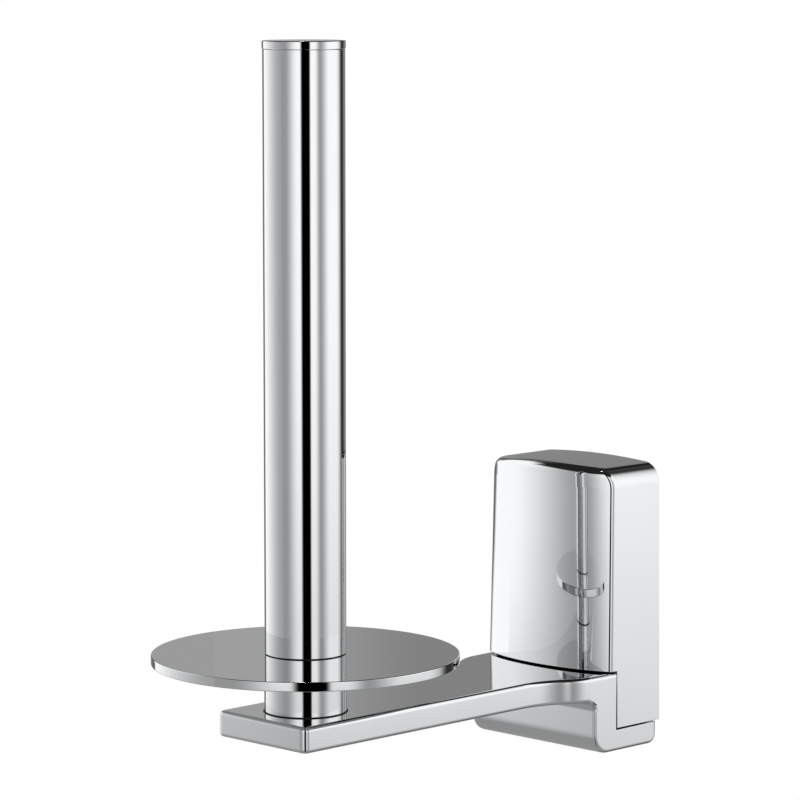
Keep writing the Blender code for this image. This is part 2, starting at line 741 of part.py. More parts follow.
def cover_front(height, across):
    """Gives the front's depth at a height and a distance from the middle, and how far it turns away there."""
    half = cover_half_width(height)
    share = across / half
    bow = COVER_BOW_BASE + (COVER_BOW_TOP - COVER_BOW_BASE) * cover_share(height)
    drop = (1 - COVER_FLATNESS_SHARE) * share**2 + COVER_FLATNESS_SHARE * share**4
    slope = 2 * (1 - COVER_FLATNESS_SHARE) * share + 4 * COVER_FLATNESS_SHARE * share**3
    return cover_side_depth(height) + bow * (1 - drop), math.atan(bow / half * slope)


def cover_section(height, side_inset, front_inset):
    """Outlines the cover at a height as (x, y): back edge, side, corner, bowed front and round again."""
    half = cover_half_width(height) - side_inset
    corner = COVER_CORNER_RADIUS
    across = half - corner
    inset = front_inset + corner
    meeting = across
    for _ in range(COVER_CORNER_TRIES):
        depth, turn = cover_front(height, meeting)
        meeting = across + inset * math.sin(turn)
    forward = inset * math.cos(turn) - depth
    right = [(half, -COVER_WALL_GAP), (half, (forward - COVER_WALL_GAP) / 2)]
    right += arc((across, forward), corner, 0, math.degrees(turn) - 90, COVER_CORNER_SEGMENTS)
    front = []
    for step in range(1, COVER_FRONT_SEGMENTS):
        spot = meeting * (1 - 2 * step / COVER_FRONT_SEGMENTS)
        depth, turn = cover_front(height, spot)
        front.append((spot - front_inset * math.sin(turn), front_inset * math.cos(turn) - depth))
    left = [(-x, y) for x, y in reversed(right)]
    return right + front + left


def cover_rings():
    """Gives the cover's skin as rings of points, from its foot up over the rounded edges to the crown."""
    crown_base = COVER_TOP - COVER_CROWN
    front_base = crown_base - COVER_FRONT_RADIUS
    half_top = cover_half_width(crown_base) - COVER_SIDE_RADIUS
    rings = []
    for share in COVER_SIDE_SHARES:
        height = COVER_BASE + share * (COVER_ROUND_BASE - COVER_BASE)
        rings.append([(x, y, height) for x, y in cover_section(height, 0, 0)])
    for step in range(COVER_ROUND_SEGMENTS + 1):
        angle = math.radians(90 * step / COVER_ROUND_SEGMENTS)
        height = COVER_ROUND_BASE + COVER_SIDE_RADIUS * math.sin(angle)
        side_inset = COVER_SIDE_RADIUS * (1 - math.cos(angle))
        above = max(0, height - front_base)
        front_inset = COVER_FRONT_RADIUS - math.sqrt(max(0, COVER_FRONT_RADIUS**2 - above**2))
        lift = COVER_CROWN * math.sin(angle)
        ring = []
        for x, y in cover_section(height, side_inset, front_inset):
            across_share = min(1, abs(x) / half_top)
            ring.append((x, y, height + lift * (1 - across_share**2)))
        rings.append(ring)
    edge = rings[-1]
    back = -COVER_WALL_GAP
    for share in COVER_CROWN_SHARES:
        ring = []
        for x, y, _ in edge:
            across_share = min(1, abs(x) * share / half_top)
            height = crown_base + COVER_CROWN * (1 - across_share**2)
            ring.append((x * share, back + (y - back) * share, height))
        rings.append(ring)
    return rings


def make_cover_skin(name, group):
    """Lofts the cover's outer skin, open at the back and below."""
    shape = bmesh.new()
    rows = [[shape.verts.new(point) for point in ring] for ring in cover_rings()]
    for lower, upper in zip(rows, rows[1:]):
        for index in range(len(lower) - 1):
            shape.faces.new((lower[index + 1], lower[index], upper[index], upper[index + 1]))
    crown = shape.verts.new((0, -COVER_WALL_GAP, COVER_TOP))
    last = rows[-1]
    for index in range(len(last) - 1):
        shape.faces.new((last[index + 1], last[index], crown))
    mesh = bpy.data.meshes.new(name)
    shape.to_mesh(mesh)
    shape.free()
    return new_object(name, mesh, group)


def make_cover(parts, cutters):
    """Makes the cover: the skin thickened inwards, cut away over the arm, with two ribs for the rails."""
    cover = make_cover_skin("cover", parts)
    wall = cover.modifiers.new("wall", "SOLIDIFY")
    wall.thickness = COVER_WALL
    wall.offset = -1
    wall.use_even_offset = True
    cut_half = HOLDER_WIDTH / 2 + CUT_OVERRUN
    cut_front = COVER_DEPTH + COVER_BOW_TOP + CUT_OVERRUN
    arm_cut = box(
        "cover_arm_cut",
        (-cut_half, -cut_front, COVER_BASE - CUT_OVERRUN),
        (cut_half, -LEG_BACK + COVER_SEAM, BLADE_TOP + COVER_ARM_GAP),
        cutters,
    )
    combine(cover, arm_cut, "DIFFERENCE")
    rib_top = BRACKET_TOP - RIB_END_MARGIN
    rib_base = COVER_BASE + RIB_END_MARGIN
    rib_front = RAIL_BACK - SEAT_GAP
    inner = rail_reach() - RAIL_WIDTH + 2 * SEAT_GAP
    outer = cover_half_width(rib_top) - COVER_WALL / 2
    for side, label in SIDES:
        low, high = sorted((side * inner, side * outer))
        rib = box(
            "cover_rib_" + label,
            (low, -rib_front, rib_base),
            (high, -rib_front + RIB_THICKNESS, rib_top),
            cutters,
        )
        combine(cover, rib, "UNION")
    give_finish(cover, CHROME)
    shade_round(cover)


def rivet_across():
    """Gives how far a rivet stands from the middle: half way along the clip's flat end."""
    return clip_inner_end() + CLIP_FLAT_LENGTH / 2


def clip_inner_end():
    """Gives where the clip's flat end starts, worked back from its bow against the cover's side."""
    inside = cover_half_width(CLIP_RISE) - COVER_WALL
    bow_line = inside - SEAT_GAP - CLIP_THICKNESS / 2 - CLIP_BOW_DEPTH
    return bow_line - CLIP_BEND_RADIUS - CLIP_FLAT_LENGTH


def clip_line():
    """Traces the middle of the +X clip as (x, y): flat end, bend and bow."""
    face = -BRACKET_THICKNESS - SEAT_GAP - CLIP_THICKNESS / 2
    start = clip_inner_end()
    bend = start + CLIP_FLAT_LENGTH
    points = [(start, face)]
    points += arc((bend, face - CLIP_BEND_RADIUS), CLIP_BEND_RADIUS, 90, 0)
    bow_x = bend + CLIP_BEND_RADIUS
    bow_y = face - CLIP_BEND_RADIUS
    for step in range(1, CLIP_BOW_SEGMENTS + 1):
        share = step / CLIP_BOW_SEGMENTS
        swell = CLIP_BOW_DEPTH * math.sin(math.pi * share)
        points.append((bow_x + swell, bow_y - CLIP_BOW_LENGTH * share))
    return points


def make_clips(parts, cutters):
    """Makes the two spring clips and the rivet that holds each to the bracket."""
    face = BRACKET_THICKNESS + SEAT_GAP
    head_face = face + CLIP_THICKNESS + SEAT_GAP
    depth = head_face - BRACKET_THICKNESS + RIVET_DEPTH
    profile = [
        (0, RIVET_HEAD_HEIGHT),
        (RIVET_HEAD_DIAMETER / 2 - RIVET_HEAD_HEIGHT / 2, RIVET_HEAD_HEIGHT),
        (RIVET_HEAD_DIAMETER / 2, RIVET_HEAD_HEIGHT / 2),
        (RIVET_HEAD_DIAMETER / 2, 0),
        (RIVET_DIAMETER / 2, 0),
        (RIVET_DIAMETER / 2, -depth),
        (0, -depth),
    ]
    for side, label in SIDES:
        line = [(side * x, y) for x, y in clip_line()]
        mesh = bpy.data.meshes.new("cover_clip_" + label)
        low = CLIP_RISE - CLIP_HEIGHT / 2
        edges = [(index, index + 1) for index in range(len(line) - 1)]
        mesh.from_pydata([(x, y, low) for x, y in line], edges, [])
        shape = bmesh.new()
        shape.from_mesh(mesh)
        strip = bmesh.ops.extrude_edge_only(shape, edges=shape.edges)["geom"]
        raised = [item for item in strip if isinstance(item, bmesh.types.BMVert)]
        bmesh.ops.translate(shape, vec=(0, 0, CLIP_HEIGHT), verts=raised)
        bmesh.ops.recalc_face_normals(shape, faces=shape.faces)
        shape.to_mesh(mesh)
        shape.free()
        clip = new_object("cover_clip_" + label, mesh, parts)
        wall = clip.modifiers.new("wall", "SOLIDIFY")
        wall.thickness = CLIP_THICKNESS
        wall.offset = 0
        wall.use_even_offset = True
        place = (side * rivet_across(), -face, CLIP_RISE)
        hole_length = CLIP_THICKNESS + 2 * CUT_OVERRUN
        hole = rod(
            "clip_hole_" + label,
            RIVET_HOLE,
            hole_length,
            SCREW_STEPS,
            cutters,
            FACE_FRONT,
            place,
        )
        combine(clip, hole, "DIFFERENCE")
        give_finish(clip, STEEL)
        shade_round(clip)
        rivet = turned("clip_rivet_" + label, profile, parts, SCREW_STEPS, False)
        rivet.rotation_euler = FACE_FRONT
        rivet.location = (side * rivet_across(), -head_face, CLIP_RISE)
        give_finish(rivet, STEEL)
        shade_round(rivet)


def main():
    """Builds the holder from the wall outwards."""
    clear_scene()
    parts = new_collection("toilet_roll_holder")
    cutters = new_collection("cutters")
    make_bracket(parts, cutters)
    make_arm(parts, cutters)
    make_arm_screws(parts, cutters)
    make_clips(parts, cutters)
    make_cover(parts, cutters)
    make_gaskets(parts)
    make_collar(parts)
    make_disc(parts)
    make_plug(parts)
    make_tube(parts)
    make_cap(parts)
    make_bolt(parts, cutters)


main()
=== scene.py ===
"""Looks of an upright toilet roll holder: its plated pieces rebuilt smooth, in a plain white studio.

X runs along the wall, +Y points into the wall and Z up, in metres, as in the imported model.
"""
import json
import logging
import math
from dataclasses import dataclass, replace
from enum import Enum

import bmesh
import bpy
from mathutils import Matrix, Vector


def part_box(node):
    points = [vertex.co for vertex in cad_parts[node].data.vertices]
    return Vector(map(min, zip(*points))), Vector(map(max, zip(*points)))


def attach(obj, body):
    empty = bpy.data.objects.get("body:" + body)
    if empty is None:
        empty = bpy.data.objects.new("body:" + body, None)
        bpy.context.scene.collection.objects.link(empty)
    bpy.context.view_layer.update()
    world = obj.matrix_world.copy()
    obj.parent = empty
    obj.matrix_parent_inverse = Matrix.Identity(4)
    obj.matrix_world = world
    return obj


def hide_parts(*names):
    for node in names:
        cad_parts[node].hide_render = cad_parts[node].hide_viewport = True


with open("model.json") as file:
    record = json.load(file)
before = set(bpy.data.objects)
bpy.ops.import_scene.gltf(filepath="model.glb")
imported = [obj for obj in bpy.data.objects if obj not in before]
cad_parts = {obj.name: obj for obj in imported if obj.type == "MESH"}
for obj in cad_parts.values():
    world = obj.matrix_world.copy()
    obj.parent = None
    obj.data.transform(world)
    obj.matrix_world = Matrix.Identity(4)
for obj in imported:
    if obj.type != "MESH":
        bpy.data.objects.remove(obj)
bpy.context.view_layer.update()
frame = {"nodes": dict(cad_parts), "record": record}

LOG = logging.getLogger("toilet_roll_holder")

FULL_TURN = math.radians(360)
SAME_PLACE = 0.000002  # two points closer than this are one
SHARP_ANGLE = math.radians(32)  # edges sharper than this stay crisp where they aren't rounded
CORNER_ANGLE = math.radians(50)  # the arm's edges that are sharper than this get rounded
RIM_ANGLE = math.radians(60)  # the edges of the cover's wall that are sharper than this get rounded
WIDEST_ROUNDING = 0.002  # the radius of an edge whose bevel weight is 1
WEIGHTS = "bevel_weight_edge"  # Blender's own name for the layer of those weights
SEAT_GAP = 0.0003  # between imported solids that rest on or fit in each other
CUT_OVERRUN = 0.002  # how far a cutter runs past the face that it cuts

# Sockets of Blender's Mix node go by number, because their names repeat from one data type to the next.
MIX_SHARE = 0
MIX_LEVELS = (2, 3)
MIX_COLOURS = (6, 7)
MIXED_COLOUR = 2

Material = bpy.types.Material
Mesh = bmesh.types.BMesh
Node = bpy.types.Node
Piece = bpy.types.Object
Socket = bpy.types.NodeSocket
Tree = bpy.types.NodeTree
Point = tuple[float, float]


class Body(Enum):
    """The bodies that the pieces ride on."""

    HOLDER = "holder"
    COVER = "cover"


class Slot(Enum):
    """The record's material slots."""

    CHROME = "polished_chrome"
    CASTING = "bare_casting"
    STEEL = "screw_steel"
    BRASS = "turned_brass"
    RUBBER = "black_rubber"


class Side(Enum):
    """The two sides of the holder, as the sign of X."""

    LEFT = -1
    RIGHT = 1


class Carving(Enum):
    """The ways in which another object changes a piece, as Blender's Boolean names them."""

    JOIN = "UNION"
    CUT = "DIFFERENCE"


def linear(code: str) -> tuple[float, float, float, float]:
    """Turns an sRGB hex colour into a linear one.

    Args:
        code: The colour, such as "#C8C9CB".

    Returns:
        Linear red, green and blue, and full opacity.
    """
    levels = []
    for start in (1, 3, 5):
        level = int(code[start : start + 2], 16) / 255
        levels.append(level / 12.92 if level <= 0.04045 else ((level + 0.055) / 1.055) ** 2.4)
    return (*levels, 1.0)


def add_node(tree: Tree, kind: str, inputs: dict | None = None, **settings: object) -> Node:
    """Adds a node with its settings and its inputs.

    Args:
        tree: The node tree of a material or of the world.
        kind: Blender's type name of the node.
        inputs: By input socket, by name or number, a value or the output socket that feeds it.
        **settings: The node's own settings, such as operation.

    Returns:
        The new node.
    """
    node = tree.nodes.new(kind)
    for name, setting in settings.items():
        setattr(node, name, setting)
    for socket, source in (inputs or {}).items():
        if isinstance(source, Socket):
            tree.links.new(source, node.inputs[socket])
        else:
            node.inputs[socket].default_value = source
    return node


@dataclass(frozen=True)
class Finish:
    """What every finish has: a name, two close tones, a range of roughness and a fine relief.

    The tones and the roughness wander over patches, and the relief is fine noise in the shader's bump.
    """

    name: str
    tone: str
    second_tone: str
    smoothest: float
    roughest: float
    metallic: float
    patch_size: float  # from one patch of tone or roughness to the next
    relief_size: float  # from one bump to the next
    relief_height: float
    stretch: tuple[float, float, float] = (1.0, 1.0, 1.0)  # of the relief, along each axis
    patch_detail: float = 3.0
    relief_detail: float = 2.0
    patch_range: tuple[float, float] = (0.3, 0.7)  # of the noise, from the smoothest to the roughest

    def make(self) -> Material:
        """Makes the material."""
        material = bpy.data.materials.new(self.name)
        material.use_nodes = True
        tree = material.node_tree
        shader = tree.nodes["Principled BSDF"]
        shader.inputs["Metallic"].default_value = self.metallic
        place = add_node(tree, "ShaderNodeTexCoord").outputs["Object"]
        patches = add_node(
            tree,
            "ShaderNodeTexNoise",
            {"Vector": place, "Scale": 1 / self.patch_size, "Detail": self.patch_detail},
        ).outputs[0]
        tree.links.new(self._tones(tree, patches), shader.inputs["Base Color"])
        tree.links.new(self._polish(tree, patches), shader.inputs["Roughness"])
        tree.links.new(self._relief(tree, place), shader.inputs["Normal"])
        return material

    def _tones(self, tree: Tree, patches: Socket) -> Socket:
        """Blends the two tones over the patches, and gives the output."""
        first, second = MIX_COLOURS
        tones = {MIX_SHARE: patches, first: linear(self.tone), second: linear(self.second_tone)}
        return add_node(tree, "ShaderNodeMix", tones, data_type="RGBA").outputs[MIXED_COLOUR]

    def _polish(self, tree: Tree, patches: Socket) -> Socket:
        """Turns the patches into a roughness, and gives the output."""
        low, high = self.patch_range
        bounds = {"From Min": low, "From Max": high, "To Min": self.smoothest, "To Max": self.roughest}
        return add_node(tree, "ShaderNodeMapRange", {"Value": patches, **bounds}).outputs[0]

    def _relief(self, tree: Tree, place: Socket) -> Socket:
        """Makes the fine relief from stretched noise, and gives the output."""
        stretched = add_node(tree, "ShaderNodeMapping", {"Vector": place, "Scale": self.stretch}).outputs[0]
        grain = {"Vector": stretched, "Scale": 1 / self.relief_size, "Detail": self.relief_detail}
        height = add_node(tree, "ShaderNodeTexNoise", grain).outputs[0]
        bump = {"Height": height, "Strength": 1.0, "Distance": self.relief_height}
        return add_node(tree, "ShaderNodeBump", bump).outputs[0]


# Bright chrome over nickel, buffed: a mirror with a hint of cold grey. Buffing leaves a ripple of a
# fraction of a micrometre, which frays the edges of what it mirrors, and a haze that comes and goes.
CHROME = Finish(
    name="chrome_plate_buffed",
    tone="#DDDEDF",
    second_tone="#D8D9DB",
    smoothest=0.02,
    roughest=0.04,
    metallic=1.0,
    patch_size=0.02,
    relief_size=0.0022,
    relief_height=0.0000002,
)

# Zinc alloy as it leaves the die: dull blue-grey with cloudy flow marks and a fine orange-peel skin.
ZINC = Finish(
    name="zinc_die_cast",
    tone="#A3A6AA",
    second_tone="#84878C",
    smoothest=0.38,
    roughest=0.52,
    metallic=1.0,
    patch_size=0.009,
    relief_size=0.0006,
    relief_height=0.000012,
)

# Stainless steel wire and strip, tumbled: plain grey, with short fine scratches.
STEEL = Finish(
    name="stainless_tumbled",
    tone="#B4B5B6",
    second_tone="#9D9E9F",
    smoothest=0.22,
    roughest=0.34,
    metallic=1.0,
    patch_size=0.004,
    relief_size=0.0004,
    relief_height=0.000003,
)

# Turned brass: yellow, with the tool's rings round the post's axis, drawn coarser so that they show.
BRASS = Finish(
    name="brass_turned",
    tone="#C7A24F",
    second_tone="#AE8A3F",
    smoothest=0.24,
    roughest=0.36,
    metallic=1.0,
    patch_size=0.005,
    relief_size=0.0009,
    relief_height=0.000006,
    stretch=(1.0, 1.0, 6.0),
)

# Moulded nitrile rubber: near black and dull, with a faint bloom and a fine moulding grain.
RUBBER = Finish(
    name="nitrile_moulded",
    tone="#101112",
    second_tone="#1B1C1E",
    smoothest=0.5,
    roughest=0.68,
    metallic=0.0,
    patch_size=0.003,
    relief_size=0.0004,
    relief_height=0.000008,
)


def new_shape() -> Mesh:
    """Makes an empty mesh whose edges can be weighed."""
    shape = bmesh.new()
    shape.edges.layers.float.new(WEIGHTS)
    return shape


def weigh(shape: Mesh, edges: list[bmesh.types.BMEdge], radius: float) -> None:
    """Marks edges to be rounded by the piece's Bevel.

    Args:
        shape: The mesh that has the edges.
        edges: The edges to round.
        radius: The radius they get.
    """
    layer = shape.edges.layers.float[WEIGHTS]
    for edge in edges:
        edge[layer] = radius / WIDEST_ROUNDING


def finish_shape(name: str, shape: Mesh, segments: int) -> Piece:
    """Makes a mesh an object with smooth faces, crisp unrounded edges and rounded weighed ones.

    Args:
        name: The piece's name.
        shape: The mesh, which is freed.
        segments: How many faces each rounding has across it.

    Returns:
        The new object, at the origin.
    """
    bmesh.ops.remove_doubles(shape, verts=shape.verts, dist=SAME_PLACE)
    bmesh.ops.recalc_face_normals(shape, faces=shape.faces)
    layer = shape.edges.layers.float[WEIGHTS]
    rounded = any(edge[layer] > 0 for edge in shape.edges)
    for edge in shape.edges:
        edge.smooth = edge[layer] > 0 or edge.calc_face_angle(0) < SHARP_ANGLE
    for face in shape.faces:
        face.smooth = True
    mesh = bpy.data.meshes.new(name)
    shape.to_mesh(mesh)
    shape.free()
    piece = bpy.data.objects.new(name, mesh)
    bpy.context.scene.collection.objects.link(piece)
    if rounded:
        rounding = piece.modifiers.new("rounding", "BEVEL")
        rounding.width = WIDEST_ROUNDING
        rounding.limit_method = "WEIGHT"
        rounding.segments = segments
        rounding.use_clamp_overlap = False
    return piece


def settle(piece: Piece) -> None:
    """Makes a piece's modifiers part of its mesh."""
    graph = bpy.context.evaluated_depsgraph_get()
    mesh = bpy.data.meshes.new_from_object(piece.evaluated_get(graph))
    mesh.name = piece.name
    piece.modifiers.clear()
    piece.data = mesh


def carve(piece: Piece, other: Piece, carving: Carving) -> None:
    """Joins another object to a piece or cuts it out, and removes that object.

    Args:
        piece: The piece that changes.
        other: The object that is joined or cut out.
        carving: Which of the two is done.
    """
    step = piece.modifiers.new("carve", "BOOLEAN")
    step.operation = carving.value
    step.solver = "EXACT"
    step.object = other
    settle(piece)
    bpy.data.objects.remove(other, do_unlink=True)


def dress(piece: Piece, finish: Material, slot: Slot, body: Body, *nodes: str) -> None:
    """Gives a piece its finish and its body, and hides the nodes that it stands for.

    Args:
        piece: The finished shape.
        finish: Its material.
        slot: The record's slot of that material; not used.
        body: The body it rides on.
        *nodes: The nodes that it replaces.
    """
    shading = piece.modifiers.new("even_shading", "WEIGHTED_NORMAL")
    shading.keep_sharp = True
    piece.data.materials.clear()
    piece.data.materials.append(finish)
    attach(piece, body.value)
    if nodes:
        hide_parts(*nodes)
    LOG.info("%s rides on %s", piece.name, body.value)


def turned(
    name: str, profile: list[tuple[float, float, float]], axis_y: float, steps: int, segments: int = 4
) -> Piece:
    """Turns a closed profile about an upright axis.

    Args:
        name: The piece's name.
        profile: Radius, height and edge rounding of each corner, in order round the section.
        axis_y: Where the axis stands in front of the wall.
        steps: How many steps the full turn has.
        segments: How many faces each rounding has across it.

    Returns:
        The turned piece.
    """
    shape = new_shape()
    corners = [shape.verts.new((radius, axis_y, height)) for radius, height, _ in profile]
    on_axis = profile[0][0] == 0
    pairs = list(zip(corners, corners[1:]))
    if not on_axis:
        pairs.append((corners[-1], corners[0]))
    section = [shape.edges.new(pair) for pair in pairs]
    bmesh.ops.spin(
        shape,
        geom=corners + section,
        cent=(0, axis_y, 0),
        axis=(0, 0, 1),
        dvec=(0, 0, 0),
        angle=FULL_TURN,
        steps=steps,
        use_merge=True,
    )
    bmesh.ops.remove_doubles(shape, verts=shape.verts, dist=SAME_PLACE)
    for radius, height, rounding in profile:
        if not rounding:
            continue
        ring = []
        for edge in shape.edges:
            places = [(math.hypot(v.co.x, v.co.y - axis_y), v.co.z) for v in edge.verts]
            if all(math.dist(place, (radius, height)) < SAME_PLACE for place in places):
                ring.append(edge)
        weigh(shape, ring, rounding)
    return finish_shape(name, shape, segments)


@dataclass
class Post:
    """Gasket, collar, disc, gasket, tube and cap, one above the other at the arm's end."""

    finishes: dict[Slot, Material]
    steps: int = 192
    bore_radius: float = 0.0033  # round the bolt
    gasket_height: float = 0.0002  # what shows of each thin gasket
    cap_seam: float = 0.0001
    edge: float = 0.0003
    fine_edge: float = 0.00012
    gasket_edge: float = 0.00008
    tube_wall: float = 0.0010
    groove_depth: float = 0.0014  # in the cap's spigot, for the O-ring

    def build(self) -> None:
        """Builds the stack from the arm upwards, each piece closed on the one below."""
        arm_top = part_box("arm_gasket")[0].z - SEAT_GAP
        collar_base = arm_top + self.gasket_height
        disc_base, disc_top = (corner.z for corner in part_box("roll_disc"))
        tube_base = disc_top + self.gasket_height
        tube_low, tube_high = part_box("post_tube")
        tube_top = tube_high.z + SEAT_GAP - self.cap_seam
        tube_bore = (tube_high.x - tube_low.x) / 2 - self.tube_wall
        self._ring("arm_gasket", arm_top, collar_base, self.bore_radius, self.gasket_edge, Slot.RUBBER)
        self._ring("spacer_collar", collar_base, disc_base, self.bore_radius, self.fine_edge, Slot.CHROME)
        self._ring("roll_disc", disc_base, disc_top, self.bore_radius, self.edge, Slot.CHROME)
        self._ring("disc_gasket", disc_top, tube_base, self.bore_radius, self.gasket_edge, Slot.RUBBER)
        self._ring("post_tube", tube_base, tube_top, tube_bore, self.fine_edge, Slot.CHROME)
        self._cap(tube_high.z + SEAT_GAP)

    def _ring(self, node: str, low: float, high: float, bore: float, edge: float, slot: Slot) -> None:
        """Turns one plain ring of the stack in the place of its node.

        Args:
            node: The node's name.
            low: The height of its lower face.
            high: The height of its upper face.
            bore: The radius of its hole.
            edge: The radius of its outer edges.
            slot: The slot of its finish.
        """
        base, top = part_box(node)
        outer = (top.x - base.x) / 2
        profile = [(outer, high, edge), (outer, low, edge), (bore, low, 0), (bore, high, 0)]
        piece = turned(node + "_smooth", profile, (top.y + base.y) / 2, self.steps)
        dress(piece, self.finishes[slot], slot, Body.HOLDER, node)

    def _cap(self, rim_base: float) -> None:
        """Makes the cap, with the grooved spigot that carries the O-ring inside the tube.

        Args:
            rim_base: The height of the rim's lower face, above the fine seam.
        """
        base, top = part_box("top_cap")
        ring_base, ring_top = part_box("cap_o_ring")
        outer = (top.x - base.x) / 2
        spigot = (ring_top.x - ring_base.x) / 2
        groove = spigot - self.groove_depth
        profile = [
            (0, top.z, 0),
            (outer, top.z, self.edge),
            (outer, rim_base, self.fine_edge),
            (spigot, rim_base, 0),
            (spigot, ring_top.z + SEAT_GAP, 0),
            (groove, ring_top.z + SEAT_GAP, 0),
            (groove, ring_base.z - SEAT_GAP, 0),
            (spigot, ring_base.z - SEAT_GAP, 0),
            (spigot, base.z, self.edge),
            (0, base.z, 0),
        ]
        piece = turned("top_cap_smooth", profile, (top.y + base.y) / 2, self.steps)
        dress(piece, self.finishes[Slot.CHROME], Slot.CHROME, Body.HOLDER, "top_cap")


def near(value: float, target: float) -> bool:
    """Says whether two lengths are the same."""
    return abs(value - target) < SAME_PLACE


def outline_block(points: list[Point], half_width: float) -> Mesh:
    """Extrudes a side outline of (y, z) corners across the holder.

    Args:
        points: The outline's corners, in order.
        half_width: How far the block reaches to each side of the middle.

    Returns:
        The block.
    """
    shape = new_shape()
    side = shape.faces.new([shape.verts.new((-half_width, y, z)) for y, z in points])
    grown = bmesh.ops.extrude_face_region(shape, geom=[side])["geom"]
    moved = [item for item in grown if isinstance(item, bmesh.types.BMVert)]
    bmesh.ops.translate(shape, vec=(2 * half_width, 0, 0), verts=moved)
    return shape


def round_now(shape: Mesh, edges: list[bmesh.types.BMEdge], radius: float, segments: int) -> None:
    """Rounds edges in the mesh itself.

    Args:
        shape: The mesh.
        edges: The edges to round.
        radius: Their radius.
        segments: How many faces the rounding has across it.
    """
    bmesh.ops.bevel(
        shape,
        geom=edges,
        offset=radius,
        offset_type="OFFSET",
        segments=segments,
        profile=0.5,
        affect="EDGES",
        material=-1,
        clamp_overlap=False,
    )


def cut_across(shape: Mesh, place: Vector | tuple, direction: tuple) -> None:
    """Cuts a mesh's faces along a plane, and keeps both sides."""
    everything = shape.verts[:] + shape.edges[:] + shape.faces[:]
    bmesh.ops.bisect_plane(shape, geom=everything, dist=SAME_PLACE / 4, plane_co=place, plane_no=direction)


def rod(name: str, diameter: float, steps: int, start: tuple, end: tuple) -> Piece:
    """Makes a plain round rod between two points that differ in one axis, to cut holes with.

    Args:
        name: The rod's name.
        diameter: Its diameter.
        steps: How many sides it has.
        start: The middle of one end.
        end: The middle of the other end.

    Returns:
        The rod.
    """
    shape = new_shape()
    line = Vector(end) - Vector(start)
    turn = line.to_track_quat("Z", "Y").to_matrix()
    bmesh.ops.create_cone(
        shape, cap_ends=True, segments=steps, radius1=diameter / 2, radius2=diameter / 2, depth=line.length
    )
    bmesh.ops.rotate(shape, verts=shape.verts, cent=(0, 0, 0), matrix=turn)
    bmesh.ops.translate(shape, verts=shape.verts, vec=(Vector(start) + Vector(end)) / 2)
    return finish_shape(name, shape, 1)


